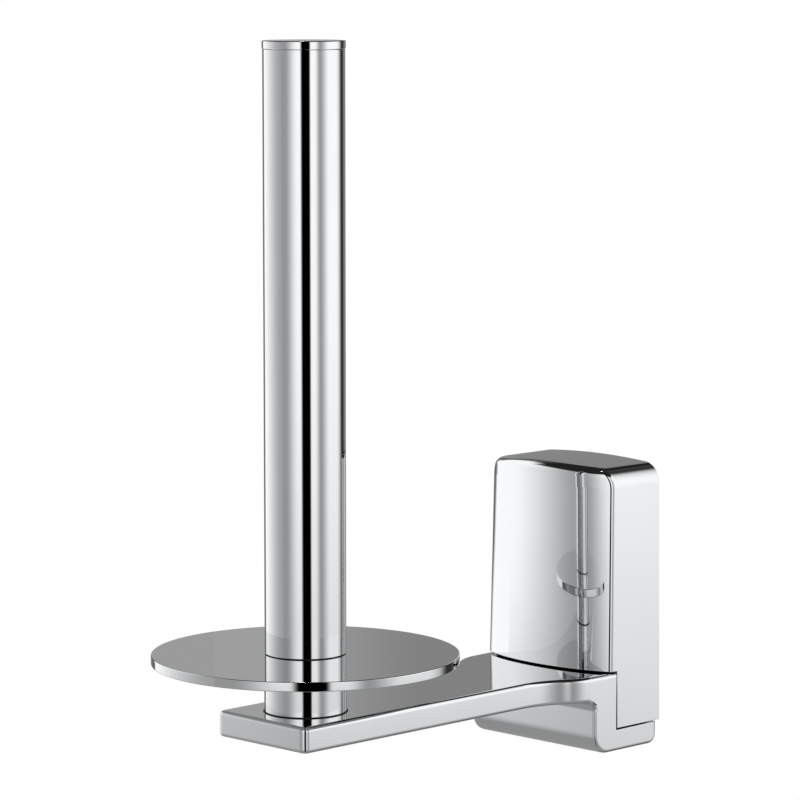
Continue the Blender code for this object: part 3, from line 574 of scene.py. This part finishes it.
@dataclass
class Arm:
    """The plated casting: blade, flared shoulder, leg, foot and the hidden tongue."""

    plate: Material
    width: float = 0.0485  # across the leg and the foot
    blade_width: float = 0.0344
    blade_top: float = -0.0182
    blade_thickness: float = 0.00715
    tip: float = -0.13435
    tip_radius: float = 0.0021
    flare_length: float = 0.0235
    flare_setback: float = 0.0013  # where the flare ends, behind the leg's front
    flare_hollow_share: float = 0.59  # the hollow arc's part of both arcs' radii
    leg_back: float = -0.0188
    leg_front: float = -0.0278
    leg_height: float = 0.0226
    leg_fillet: float = 0.0030
    foot_thickness: float = 0.00625
    foot_back: float = -0.0015
    toe_radius: float = 0.0055
    heel_radius: float = 0.0028
    under_edge: float = 0.0012  # round the blade's underside, the leg's front and the foot
    top_edge: float = 0.0013
    tongue_edge: float = 0.0004
    seam_edge: float = 0.0002  # where the cover meets the leg and the foot
    tongue_half: float = 0.0150
    tongue_back: float = -0.0120
    tongue_front: float = -0.0171
    tongue_top: float = 0.0040
    tongue_root: float = 0.0016  # how deep the tongue runs into the leg and the foot
    tongue_edge_steps: int = 3
    screw_way: float = 0.0046  # the diameter of the holes for the two screws
    boss_way: float = 0.0106  # the diameter of the recesses for the bracket's bosses
    boss_recess: float = 0.0018  # how deep these are
    bolt_way: float = 0.0033  # the radius of the hole for the post's bolt
    sink_top: float = 0.0039  # how high the bolt's countersink reaches
    sink_rim: float = 0.0010  # how high its straight rim does
    flare_cuts: int = 44
    corner_steps: int = 10
    rounding_steps: int = 6
    hole_steps: int = 48

    def build(self) -> None:
        """Builds the arm, with its tongue and its holes."""
        shape = self._blank()
        self._shape_plan(shape)
        self._mark_edges(shape)
        arm = finish_shape("arm_smooth", shape, self.rounding_steps)
        carve(arm, self._tongue(), Carving.JOIN)
        for cutter in self._holes():
            carve(arm, cutter, Carving.CUT)
        dress(arm, self.plate, Slot.CHROME, Body.HOLDER, "arm")

    def _blank(self) -> Mesh:
        """Makes the arm's side outline as a block, with its fillets, toe and heel rounded."""
        blade_base = self.blade_top - self.blade_thickness
        foot_base = self.blade_top - self.leg_height
        foot_top = foot_base + self.foot_thickness
        outline = [
            (self.tip, self.blade_top),
            (self.tip, blade_base),
            (self.leg_front, blade_base),
            (self.leg_front, foot_base),
            (self.foot_back, foot_base),
            (self.foot_back, foot_top),
            (self.leg_back, foot_top),
            (self.leg_back, self.blade_top),
        ]
        shape = outline_block(outline, self.width / 2)
        roundings = (
            ((self.leg_front, blade_base), self.leg_fillet),
            ((self.leg_front, foot_base), self.toe_radius),
            ((self.foot_back, foot_base), self.heel_radius),
        )
        for (y, z), radius in roundings:
            edges = [
                edge
                for edge in shape.edges
                if all(near(vertex.co.y, y) and near(vertex.co.z, z) for vertex in edge.verts)
            ]
            round_now(shape, edges, radius, self.corner_steps)
        return shape

    def _half_width(self, y: float) -> float:
        """Gives half the arm's width at a distance from the wall: two tangent arcs make the flare."""
        narrow, wide = self.blade_width / 2, self.width / 2
        end = self.leg_front + self.flare_setback
        start = end - self.flare_length
        if y <= start:
            return narrow
        if y > self.leg_front - SAME_PLACE:
            return wide
        turn = 2 * math.atan2(wide - narrow, self.flare_length)
        both = self.flare_length / math.sin(turn)
        hollow = both * self.flare_hollow_share
        crest = both - hollow
        if y < start + hollow * math.sin(turn):
            return narrow + hollow - math.sqrt(hollow**2 - (y - start) ** 2)
        return wide - crest + math.sqrt(crest**2 - (end - y) ** 2)

    def _shape_plan(self, shape: Mesh) -> None:
        """Cuts the block across along the flare, draws it in to its plan and rounds its tip."""
        start = self.leg_front + self.flare_setback - self.flare_length
        fillet = self.leg_front - self.leg_fillet
        clear = self.leg_front - self.under_edge
        places = {round(vertex.co.y, 6) for vertex in shape.verts if fillet <= vertex.co.y < clear}
        places.update({start, self.leg_back, self.leg_front + self.toe_radius})
        places.add(self.foot_back - self.heel_radius)
        for step in range(1, self.flare_cuts):
            places.add(start + (fillet - start) * step / self.flare_cuts)
        for y in sorted(places):
            cut_across(shape, (0, y, 0), (0, 1, 0))
        foot_base = self.blade_top - self.leg_height
        leg_top = self.blade_top - self.blade_thickness - self.leg_fillet
        for z in (foot_base + self.toe_radius, foot_base + self.foot_thickness, leg_top):
            cut_across(shape, (0, 0, z), (0, 0, 1))
        for vertex in shape.verts:
            vertex.co.x = math.copysign(self._half_width(vertex.co.y), vertex.co.x)
        corners = [
            edge
            for edge in shape.edges
            if all(near(vertex.co.y, self.tip) for vertex in edge.verts)
            and near(edge.verts[0].co.x, edge.verts[1].co.x)
        ]
        round_now(shape, corners, self.tip_radius, self.corner_steps)

    def _edge_radius(self, y: float, z: float) -> float:
        """Gives the rounding of the arm's side edge at a place."""
        foot_top = self.blade_top - self.leg_height + self.foot_thickness
        if z > foot_top - self.seam_edge and y > self.leg_back - self.seam_edge:
            return self.seam_edge
        return self.top_edge if near(z, self.blade_top) else self.under_edge

    def _mark_edges(self, shape: Mesh) -> None:
        """Weighs the arm's sharp outer edges."""
        for edge in shape.edges:
            if edge.is_convex and edge.calc_face_angle(0) > CORNER_ANGLE:
                middle = (edge.verts[0].co + edge.verts[1].co) / 2
                weigh(shape, [edge], self._edge_radius(middle.y, middle.z))

    def _tongue(self) -> Piece:
        """Makes the tongue that rises inside the cover, its root buried in the leg and the foot."""
        foot_top = self.blade_top - self.leg_height + self.foot_thickness
        root = foot_top - self.tongue_root
        buried = self.leg_back - self.tongue_root
        outline = [
            (self.tongue_back, root),
            (self.tongue_back, self.tongue_top),
            (self.tongue_front, self.tongue_top),
            (self.tongue_front, self.blade_top - self.tongue_edge),
            (buried, self.blade_top - self.tongue_root),
            (buried, root),
        ]
        shape = outline_block(outline, self.tongue_half)
        sharp = [edge for edge in shape.edges if edge.calc_face_angle(0) > SHARP_ANGLE]
        weigh(shape, sharp, self.tongue_edge)
        return finish_shape("arm_tongue", shape, self.tongue_edge_steps)

    def _holes(self) -> list[Piece]:
        """Makes the cutters for the two screws and their bosses, and for the post's bolt."""
        cutters = []
        steps = self.hole_steps
        back, front = self.tongue_back + CUT_OVERRUN, self.tongue_front - CUT_OVERRUN
        recess = self.tongue_back - self.boss_recess
        for side in Side:
            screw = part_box("arm_screw_" + side.name.lower())
            x, z = (screw[0].x + screw[1].x) / 2, (screw[0].z + screw[1].z) / 2
            cutters.append(rod("screw_way", self.screw_way, steps, (x, back, z), (x, front, z)))
            cutters.append(rod("boss_way", self.boss_way, steps, (x, back, z), (x, recess, z)))
        bolt_low, bolt_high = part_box("post_bolt")
        head = (bolt_high.x - bolt_low.x) / 2 + SEAT_GAP
        base = self.blade_top - self.blade_thickness
        way = [
            (0, self.blade_top + CUT_OVERRUN, 0),
            (self.bolt_way, self.blade_top + CUT_OVERRUN, 0),
            (self.bolt_way, base + self.sink_top, 0),
            (head, base + self.sink_rim, 0),
            (head, base - CUT_OVERRUN, 0),
            (0, base - CUT_OVERRUN, 0),
        ]
        cutters.append(turned("bolt_way", way, (bolt_low.y + bolt_high.y) / 2, steps))
        return cutters


@dataclass
class Cover:
    """The lift-off cover: a thin plated shell with a bowed front, and two ribs behind the rails."""

    plate: Material
    width: float = 0.0485  # at its foot
    top: float = 0.0409
    base: float = -0.03415
    depth: float = 0.0210  # of its side wall, at its foot
    side_draft: float = 0.0009  # how far each side draws in up to the top
    front_draft: float = 0.00145  # how far the front draws back up to the top
    bow_base: float = 0.0049  # how far the front bows out past its corners, at the foot
    bow_top: float = 0.00605
    flatness_share: float = 0.3  # of the bow that follows the fourth power, which flattens its middle
    wall: float = 0.0015
    corner: float = 0.0021  # the radius of the upright edges between the front and the sides
    side_radius: float = 0.0055  # of the rounding from the sides into the top
    front_radius: float = 0.0025  # of the rounding from the front into the top
    crown: float = 0.0007  # how far the top bulges up
    wall_gap: float = 0.0003  # between the cover and the wall
    arm_gap_height: float = -0.01775  # where the front ends, just above the arm
    seam_depth: float = 0.0184  # of the part of the sides that reaches down behind the leg
    rim_edge: float = 0.00015
    rim_steps: int = 3
    corner_steps: int = 14
    corner_tries: int = 8  # to find where the corner's arc meets the front
    front_steps: int = 96
    round_steps: int = 26
    crown_steps: int = 8
    support: float = 0.0002  # between a bend and the row that keeps the face beside it flat
    rib_thickness: float = 0.0012
    rib_front: float = -0.0017  # the ribs' side towards the rails
    rib_gap: float = 0.0006  # between a rib and the bottom of the groove that it runs in
    rib_margin: float = 0.0020  # between a rib's ends and the bracket's
    rib_edge_steps: int = 2
    rail_width: float = 0.0039

    def build(self) -> None:
        """Builds the shell and its ribs."""
        shape = self._skin()
        self._cut_away(shape)
        cover = finish_shape("cover_smooth", shape, 1)
        wall = cover.modifiers.new("wall", "SOLIDIFY")
        wall.thickness = self.wall
        wall.offset = -1
        wall.use_even_offset = False
        rim = cover.modifiers.new("rim", "BEVEL")
        rim.width = self.rim_edge
        rim.segments = self.rim_steps
        rim.limit_method = "ANGLE"
        rim.angle_limit = RIM_ANGLE
        rim.use_clamp_overlap = False
        dress(cover, self.plate, Slot.CHROME, Body.COVER, "cover")
        self._ribs()

    def _section(self, height: float, side_inset: float, front_inset: float) -> list[Point]:
        """Outlines the cover at a height: back edge, side, corner, bowed front and round again.

        Args:
            height: The height of the section.
            side_inset: How far the sides are drawn in there.
            front_inset: How far the front is drawn in there.

        Returns:
            The outline as (x, y) points, from the right back edge to the left one.
        """
        half = self.width / 2 - self.side_draft * self._share(height) - side_inset
        across = half - self.corner
        inset = front_inset + self.corner
        meeting = across
        for _ in range(self.corner_tries):
            depth, turn = self._front(height, meeting)
            meeting = across + inset * math.sin(turn)
        forward = inset * math.cos(turn) - depth
        seam = max(-self.seam_depth, forward + self.support)
        right = [(half, -self.wall_gap), (half, (seam - self.wall_gap) / 2), (half, seam)]
        for step in range(self.corner_steps + 1):
            angle = (turn - FULL_TURN / 4) * step / self.corner_steps
            right.append((across + self.corner * math.cos(angle), forward + self.corner * math.sin(angle)))
        front = []
        for step in range(1, self.front_steps):
            spot = meeting * (1 - 2 * step / self.front_steps)
            depth, turn = self._front(height, spot)
            front.append((spot - front_inset * math.sin(turn), front_inset * math.cos(turn) - depth))
        left = [(-x, y) for x, y in reversed(right)]
        return right + front + left

    def _share(self, height: float) -> float:
        """Says how far up the cover a height is, from 0 at its foot to 1 at its top."""
        return (height - self.base) / (self.top - self.base)

    def _front(self, height: float, across: float) -> tuple[float, float]:
        """Gives the front's depth and how far it has turned away at a place.

        Args:
            height: The place's height.
            across: Its distance from the middle.

        Returns:
            How far the front stands off the wall there, and the angle between it and the wall.
        """
        share = self._share(height)
        half = self.width / 2 - self.side_draft * share
        bow = self.bow_base + (self.bow_top - self.bow_base) * share
        out = across / half
        flat = self.flatness_share
        drop = (1 - flat) * out**2 + flat * out**4
        slope = 2 * (1 - flat) * out + 4 * flat * out**3
        return self.depth - self.front_draft * share + bow * (1 - drop), math.atan(bow / half * slope)

    def _rows(self) -> list[list[Vector]]:
        """Places the skin's rows of points: up the walls, over the rounded edges and in to the crown."""
        crown_base = self.top - self.crown
        round_base = crown_base - self.side_radius
        front_base = crown_base - self.front_radius
        share_top = (crown_base - self.base) / (self.top - self.base)
        half_top = self.width / 2 - self.side_draft * share_top - self.side_radius
        rows = []
        for height in (self.base, self.arm_gap_height, 0.0, round_base / 2, round_base - self.support):
            rows.append([Vector((x, y, height)) for x, y in self._section(height, 0, 0)])
        for step in range(self.round_steps + 1):
            angle = math.radians(90 * step / self.round_steps)
            height = round_base + self.side_radius * math.sin(angle)
            side_inset = self.side_radius * (1 - math.cos(angle))
            above = max(0.0, height - front_base)
            front_inset = self.front_radius - math.sqrt(max(0.0, self.front_radius**2 - above**2))
            lift = self.crown * math.sin(angle)
            row = []
            for x, y in self._section(height, side_inset, front_inset):
                share = min(1.0, abs(x) / half_top)
                row.append(Vector((x, y, height + lift * (1 - share**2))))
            rows.append(row)
        edge = rows[-1]
        for step in range(1, self.crown_steps + 1):
            shrink = 1 - step / self.crown_steps
            row = []
            for point in edge:
                share = min(1.0, abs(point.x) * shrink / half_top)
                y = -self.wall_gap + (point.y + self.wall_gap) * shrink
                row.append(Vector((point.x * shrink, y, crown_base + self.crown * (1 - share**2))))
            rows.append(row)
        return rows

    def _skin(self) -> Mesh:
        """Draws the lowest row and extrudes it from row to row, up to the middle of the crown."""
        shape = new_shape()
        rows = self._rows()
        line = [shape.verts.new(point) for point in rows[0]]
        edges = [shape.edges.new(pair) for pair in zip(line, line[1:])]
        for row in rows[1:]:
            grown = bmesh.ops.extrude_edge_only(shape, edges=edges)["geom"]
            upper = {item for item in grown if isinstance(item, bmesh.types.BMVert)}
            above = []
            for vertex in line:
                rising = [edge.other_vert(vertex) for edge in vertex.link_edges]
                above += [other for other in rising if other in upper]
            line = above
            for vertex, point in zip(line, row):
                vertex.co = point
            drawn = [item for item in grown if isinstance(item, bmesh.types.BMEdge)]
            edges = [edge for edge in drawn if upper.issuperset(edge.verts)]
        bmesh.ops.remove_doubles(shape, verts=shape.verts, dist=SAME_PLACE)
        return shape

    def _cut_away(self, shape: Mesh) -> None:
        """Takes the skin away over the arm: below the front and in front of the leg's seam."""
        gone = []
        for face in shape.faces:
            middle = face.calc_center_median()
            if middle.z < self.arm_gap_height and middle.y < -self.seam_depth:
                gone.append(face)
        bmesh.ops.delete(shape, geom=gone, context="FACES")

    def _ribs(self) -> None:
        """Makes the two ribs inside the cover, rooted in its side walls."""
        bracket_low, bracket_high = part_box("wall_bracket")
        inner = bracket_high.x - self.rail_width + self.rib_gap
        outer = self.width / 2 - self.side_draft - self.wall / 2
        length = bracket_high.z - bracket_low.z - 2 * self.rib_margin
        size = (outer - inner, self.rib_thickness, length)
        depth = self.rib_front + self.rib_thickness / 2
        height = (bracket_low.z + bracket_high.z) / 2
        shape = new_shape()
        for side in Side:
            made = bmesh.ops.create_cube(shape, size=1)["verts"]
            bmesh.ops.scale(shape, vec=size, verts=made)
            middle = (side.value * (outer + inner) / 2, depth, height)
            bmesh.ops.translate(shape, vec=middle, verts=made)
        weigh(shape, shape.edges[:], self.rim_edge)
        ribs = finish_shape("cover_ribs", shape, self.rib_edge_steps)
        dress(ribs, self.plate, Slot.CHROME, Body.COVER)


@dataclass(frozen=True)
class TentPanel:
    """A bright or dark part of a tent wall, by its bearing in degrees from the camera's side to the right."""

    start: float
    end: float
    lead_in: float  # how wide its soft edge is before the start
    fade_out: float  # how wide its soft edge is after the end
    level: float


@dataclass(frozen=True)
class TentWall:
    """A drum of lit cloth round the post, with a lid and a base, or a part of one.

    Its bearings are those of its panels. Heights in its light are given as rises: a height over the
    distance from the post's axis.
    """

    name: str
    radius: float
    base: float
    top: float
    start: float  # the bearing at which it starts
    span: float  # how far round it reaches
    level: float  # between the panels
    hood_start: float  # the rise at which it starts to turn dark
    hood_full: float  # the rise above which it is dark
    foot_start: float  # the rise below which it fades to the foot's level
    foot_full: float
    panels: tuple[TentPanel, ...]
    slits: tuple[TentPanel, ...] = ()  # dark from the base up


# Close by on the left: a panel that fades over a long way, which gives the cover's front its gradient.
LEFT_WALL = TentWall(
    name="tent_left",
    radius=0.20,
    base=-0.30,
    top=0.50,
    start=-137,
    span=75,
    level=0.48,
    hood_start=0.85,
    hood_full=1.2,
    foot_start=-0.05,
    foot_full=-0.90,
    panels=(TentPanel(214, 222, 8, 76, 1.31),),
)

# From the camera's left round to the right: three bright panels, a dark slit by the camera and another
# one beside the wall. They give the post its bands and the cover and the leg their pale sides.
RIGHT_WALL = TentWall(
    name="tent_right",
    radius=0.45,
    base=-0.55,
    top=0.80,
    start=-62,
    span=202,
    level=0.42,
    hood_start=0.83,
    hood_full=0.88,
    foot_start=0.20,
    foot_full=-0.80,
    panels=(
        TentPanel(-14.5, -10.5, 37.5, 6, 1.31),
        TentPanel(22, 30, 9, 17, 1.31),
        TentPanel(76, 100, 30, 27, 1.31),
        TentPanel(150, 175, 14, 8, 0.27),
    ),
    slits=(TentPanel(-3, 15.5, 5, 5, 0.0), TentPanel(128, 135, 14, 16, 0.04)),
)

# Behind the holder the dark hood hangs lower, so that it shows in the edges of the cover's top.
BACK_WALL = replace(RIGHT_WALL, name="tent_back", start=140, span=46, hood_start=0.50, hood_full=0.58)

# Far off, seen in mirrors through the gap between the others: dull behind the level faces, then bright.
FAR_WALL = TentWall(
    name="tent_far",
    radius=1.5,
    base=-0.75,
    top=2.2,
    start=0,
    span=360,
    level=0.40,
    hood_start=0.85,
    hood_full=1.2,
    foot_start=-0.30,
    foot_full=-0.80,
    panels=(TentPanel(200, 210, 8, 8, 0.17), TentPanel(219, 280, 7, 10, 1.31)),
)


@dataclass
class Studio:
    """A round light tent with soft panels and a slit for the camera, a lamp overhead and a pale floor."""

    azimuth: float = math.radians(44.97145)
    pitch: float = math.radians(6.76187)
    lens: float = 168.2239
    sensor: float = 36.0
    place: tuple[float, float, float] = (0.718844, -0.801152, 0.183691)
    walls: tuple[TentWall, ...] = (LEFT_WALL, RIGHT_WALL, BACK_WALL, FAR_WALL)
    wall_steps: int = 120
    seam_bearing: float = -62.0  # where the bearings start, in a part of the walls that is even
    hood_level: float = 0.02  # above the lit part of the walls
    foot_level: float = 0.36
    room_level: float = 0.70  # of the light that matt surfaces get from all round
    floor_tone: str = "#D9D9D8"
    floor_roughness: float = 0.9
    floor_drop: float = 0.79
    floor_radius: float = 2.9
    floor_steps: int = 128
    lamp_place: tuple[float, float, float] = (0.0, -0.08, 1.6)
    lamp_size: float = 0.35
    lamp_power: float = 7.0

    def build(self) -> None:
        """Builds the camera, the tent, the room, the floor and the lamp."""
        self._camera()
        low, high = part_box("post_tube")
        for wall in self.walls:
            self._tent(wall, (low + high) / 2)
        self._room()
        self._floor()
        self._lamp()
        bpy.context.scene.view_settings.view_transform = "Standard"

    def _camera(self) -> None:
        """Stands the camera where the photograph was taken from."""
        lens = bpy.data.cameras.new("camera")
        lens.lens = self.lens
        lens.sensor_width = self.sensor
        camera = bpy.data.objects.new("camera", lens)
        bpy.context.scene.collection.objects.link(camera)
        camera.location = self.place
        camera.rotation_euler = (math.radians(90) - self.pitch, 0, self.azimuth)
        bpy.context.scene.camera = camera

    def _tent(self, wall: TentWall, middle: Vector) -> None:
        """Stands a wall of the tent round the post: lit cloth that only mirrors see.

        Args:
            wall: The wall.
            middle: A point on the post's axis.
        """
        bearing = self.azimuth - FULL_TURN / 4 + math.radians(wall.start)
        out = Vector((math.cos(bearing), math.sin(bearing), 0)) * wall.radius
        axis = Vector((middle.x, middle.y, 0))
        places = [(0, wall.base), (1, wall.base), (1, wall.top), (0, wall.top)]
        shape = new_shape()
        line = [shape.verts.new(axis + out * share + Vector((0, 0, height))) for share, height in places]
        section = [shape.edges.new(pair) for pair in zip(line, line[1:])]
        bmesh.ops.spin(
            shape,
            geom=line + section,
            cent=axis,
            axis=(0, 0, 1),
            dvec=(0, 0, 0),
            angle=math.radians(wall.span),
            steps=self.wall_steps,
            use_merge=wall.span == 360,
        )
        tent = finish_shape(wall.name, shape, 1)
        tent.data.materials.append(self._tent_light(wall, middle))
        tent.visible_camera = False
        tent.visible_diffuse = False
        tent.visible_shadow = False

    def _tent_light(self, wall: TentWall, middle: Vector) -> Material:
        """Makes a wall's light: panels side by side round the post, dark above them and plain below.

        Args:
            wall: The wall.
            middle: A point on the post's axis.

        Returns:
            The wall's material.
        """
        material = bpy.data.materials.new("lit_diffuser_cloth")
        material.use_nodes = True
        tree = material.node_tree
        tree.nodes.clear()
        place = add_node(tree, "ShaderNodeTexCoord").outputs["Object"]
        axis = (middle.x, middle.y, 0)
        way = add_node(tree, "ShaderNodeVectorMath", {0: place, 1: axis}, operation="SUBTRACT").outputs[0]
        bearing = self._bearing(tree, way)
        rise = self._rise(tree, way)
        light = wall.level
        for panel in wall.panels:
            light = self._blend(tree, self._reach(tree, bearing, panel), light, panel.level)
        above = self._ramp(tree, rise, wall.hood_start, wall.hood_full)
        light = self._blend(tree, above, light, self.hood_level)
        below = self._ramp(tree, rise, wall.foot_full, wall.foot_start, falling=True)
        light = self._blend(tree, below, light, self.foot_level)
        for slit in wall.slits:
            light = self._blend(tree, self._reach(tree, bearing, slit), light, slit.level)
        glow = add_node(tree, "ShaderNodeEmission", {"Color": (1, 1, 1, 1), "Strength": light})
        add_node(tree, "ShaderNodeOutputMaterial", {"Surface": glow.outputs[0]})
        return material

    def _bearing(self, tree: Tree, way: Socket) -> Socket:
        """Turns the way out from the post's axis into a bearing in degrees, and gives the output."""
        to_camera = (math.sin(self.azimuth), -math.cos(self.azimuth), 0)
        to_right = (math.cos(self.azimuth), math.sin(self.azimuth), 0)
        ahead = add_node(tree, "ShaderNodeVectorMath", {0: way, 1: to_camera}, operation="DOT_PRODUCT")
        aside = add_node(tree, "ShaderNodeVectorMath", {0: way, 1: to_right}, operation="DOT_PRODUCT")
        sides = {0: aside.outputs["Value"], 1: ahead.outputs["Value"]}
        turn = add_node(tree, "ShaderNodeMath", sides, operation="ARCTAN2").outputs[0]
        degrees = add_node(tree, "ShaderNodeMath", {0: turn}, operation="DEGREES").outputs[0]
        span = {0: degrees, 1: self.seam_bearing + 360, 2: self.seam_bearing}
        return add_node(tree, "ShaderNodeMath", span, operation="WRAP").outputs[0]

    def _rise(self, tree: Tree, way: Socket) -> Socket:
        """Turns the way out from the post's axis into a rise, and gives the output."""
        height = add_node(tree, "ShaderNodeSeparateXYZ", {0: way}).outputs["Z"]
        flat = add_node(tree, "ShaderNodeVectorMath", {0: way, 1: (1, 1, 0)}, operation="MULTIPLY")
        distance = add_node(tree, "ShaderNodeVectorMath", {0: flat.outputs[0]}, operation="LENGTH")
        heights = {0: height, 1: distance.outputs["Value"]}
        return add_node(tree, "ShaderNodeMath", heights, operation="DIVIDE").outputs[0]

    def _reach(self, tree: Tree, bearing: Socket, panel: TentPanel) -> Socket:
        """Says how much of the light at a bearing is a panel's, and gives the output."""
        comes = self._ramp(tree, bearing, panel.start - panel.lead_in, panel.start)
        goes = self._ramp(tree, bearing, panel.end, panel.end + panel.fade_out, falling=True)
        return add_node(tree, "ShaderNodeMath", {0: comes, 1: goes}, operation="MULTIPLY").outputs[0]

    def _ramp(self, tree: Tree, value: Socket, low: float, high: float, falling: bool = False) -> Socket:
        """Turns a value softly into a share from 0 to 1 between two bounds, or back, and gives the output."""
        ends = {"To Min": float(falling), "To Max": float(not falling)}
        bounds = {"Value": value, "From Min": low, "From Max": high, **ends}
        return add_node(tree, "ShaderNodeMapRange", bounds, interpolation_type="SMOOTHSTEP").outputs[0]

    def _blend(self, tree: Tree, share: Socket, base: Socket | float, level: float) -> Socket:
        """Blends a light level into the tent's by a share, and gives the output."""
        first, second = MIX_LEVELS
        levels = {MIX_SHARE: share, first: base, second: level}
        return add_node(tree, "ShaderNodeMix", levels, data_type="FLOAT").outputs[0]

    def _room(self) -> None:
        """Makes the room: white where it is seen or mirrored, and a plain light on matt things."""
        world = bpy.data.worlds.new("studio_room")
        bpy.context.scene.world = world
        world.use_nodes = True
        tree = world.node_tree
        tree.nodes.clear()
        rays = add_node(tree, "ShaderNodeLightPath").outputs
        mirrored = {0: rays["Is Glossy Ray"], 1: rays["Is Transmission Ray"]}
        clear = add_node(tree, "ShaderNodeMath", mirrored, operation="MAXIMUM").outputs[0]
        direct = {0: rays["Is Camera Ray"], 1: clear}
        seen = add_node(tree, "ShaderNodeMath", direct, operation="MAXIMUM").outputs[0]
        white = (1, 1, 1, 1)
        plain = add_node(tree, "ShaderNodeBackground", {"Color": white, "Strength": self.room_level})
        backdrop = add_node(tree, "ShaderNodeBackground", {"Color": white, "Strength": 1.0})
        sides = {0: seen, 1: plain.outputs[0], 2: backdrop.outputs[0]}
        room = add_node(tree, "ShaderNodeMixShader", sides)
        add_node(tree, "ShaderNodeOutputWorld", {"Surface": room.outputs[0]})

    def _floor(self) -> None:
        """Lays the round pale floor, as far below the holder as one is under a wall."""
        shape = new_shape()
        bmesh.ops.create_circle(shape, cap_ends=True, segments=self.floor_steps, radius=self.floor_radius)
        bmesh.ops.translate(shape, vec=(0, 0, -self.floor_drop), verts=shape.verts)
        floor = finish_shape("studio_floor", shape, 1)
        material = bpy.data.materials.new("paper_matt")
        material.use_nodes = True
        shader = material.node_tree.nodes["Principled BSDF"]
        shader.inputs["Base Color"].default_value = linear(self.floor_tone)
        shader.inputs["Roughness"].default_value = self.floor_roughness
        floor.data.materials.append(material)

    def _lamp(self) -> None:
        """Hangs the soft lamp over the holder."""
        light = bpy.data.lights.new("overhead", "AREA")
        light.size = self.lamp_size
        light.energy = self.lamp_power
        lamp = bpy.data.objects.new("overhead", light)
        bpy.context.scene.collection.objects.link(lamp)
        lamp.location = self.lamp_place


def dress_hidden(finishes: dict[Slot, Material]) -> None:
    """Gives the nodes that stay as they are their materials.

    Args:
        finishes: The materials by the record's slot.
    """
    slots = {part["node"]: Slot(part["material_slot"]) for part in frame["record"]["subparts"]}
    for name, node in frame["nodes"].items():
        material = finishes[slots[name]]
        if not node.material_slots:
            node.data.materials.append(material)
        for holder in node.material_slots:
            holder.material = material
        LOG.info("%s gets %s", name, material.name)


def main() -> None:
    """Builds the holder's looks and the studio."""
    logging.basicConfig(level=logging.INFO, format="%(message)s")
    finishes = {
        Slot.CHROME: CHROME.make(),
        Slot.CASTING: ZINC.make(),
        Slot.STEEL: STEEL.make(),
        Slot.BRASS: BRASS.make(),
        Slot.RUBBER: RUBBER.make(),
    }
    dress_hidden(finishes)
    Post(finishes).build()
    Arm(finishes[Slot.CHROME]).build()
    Cover(finishes[Slot.CHROME]).build()
    Studio().build()


if __name__ == "__main__":
    main()
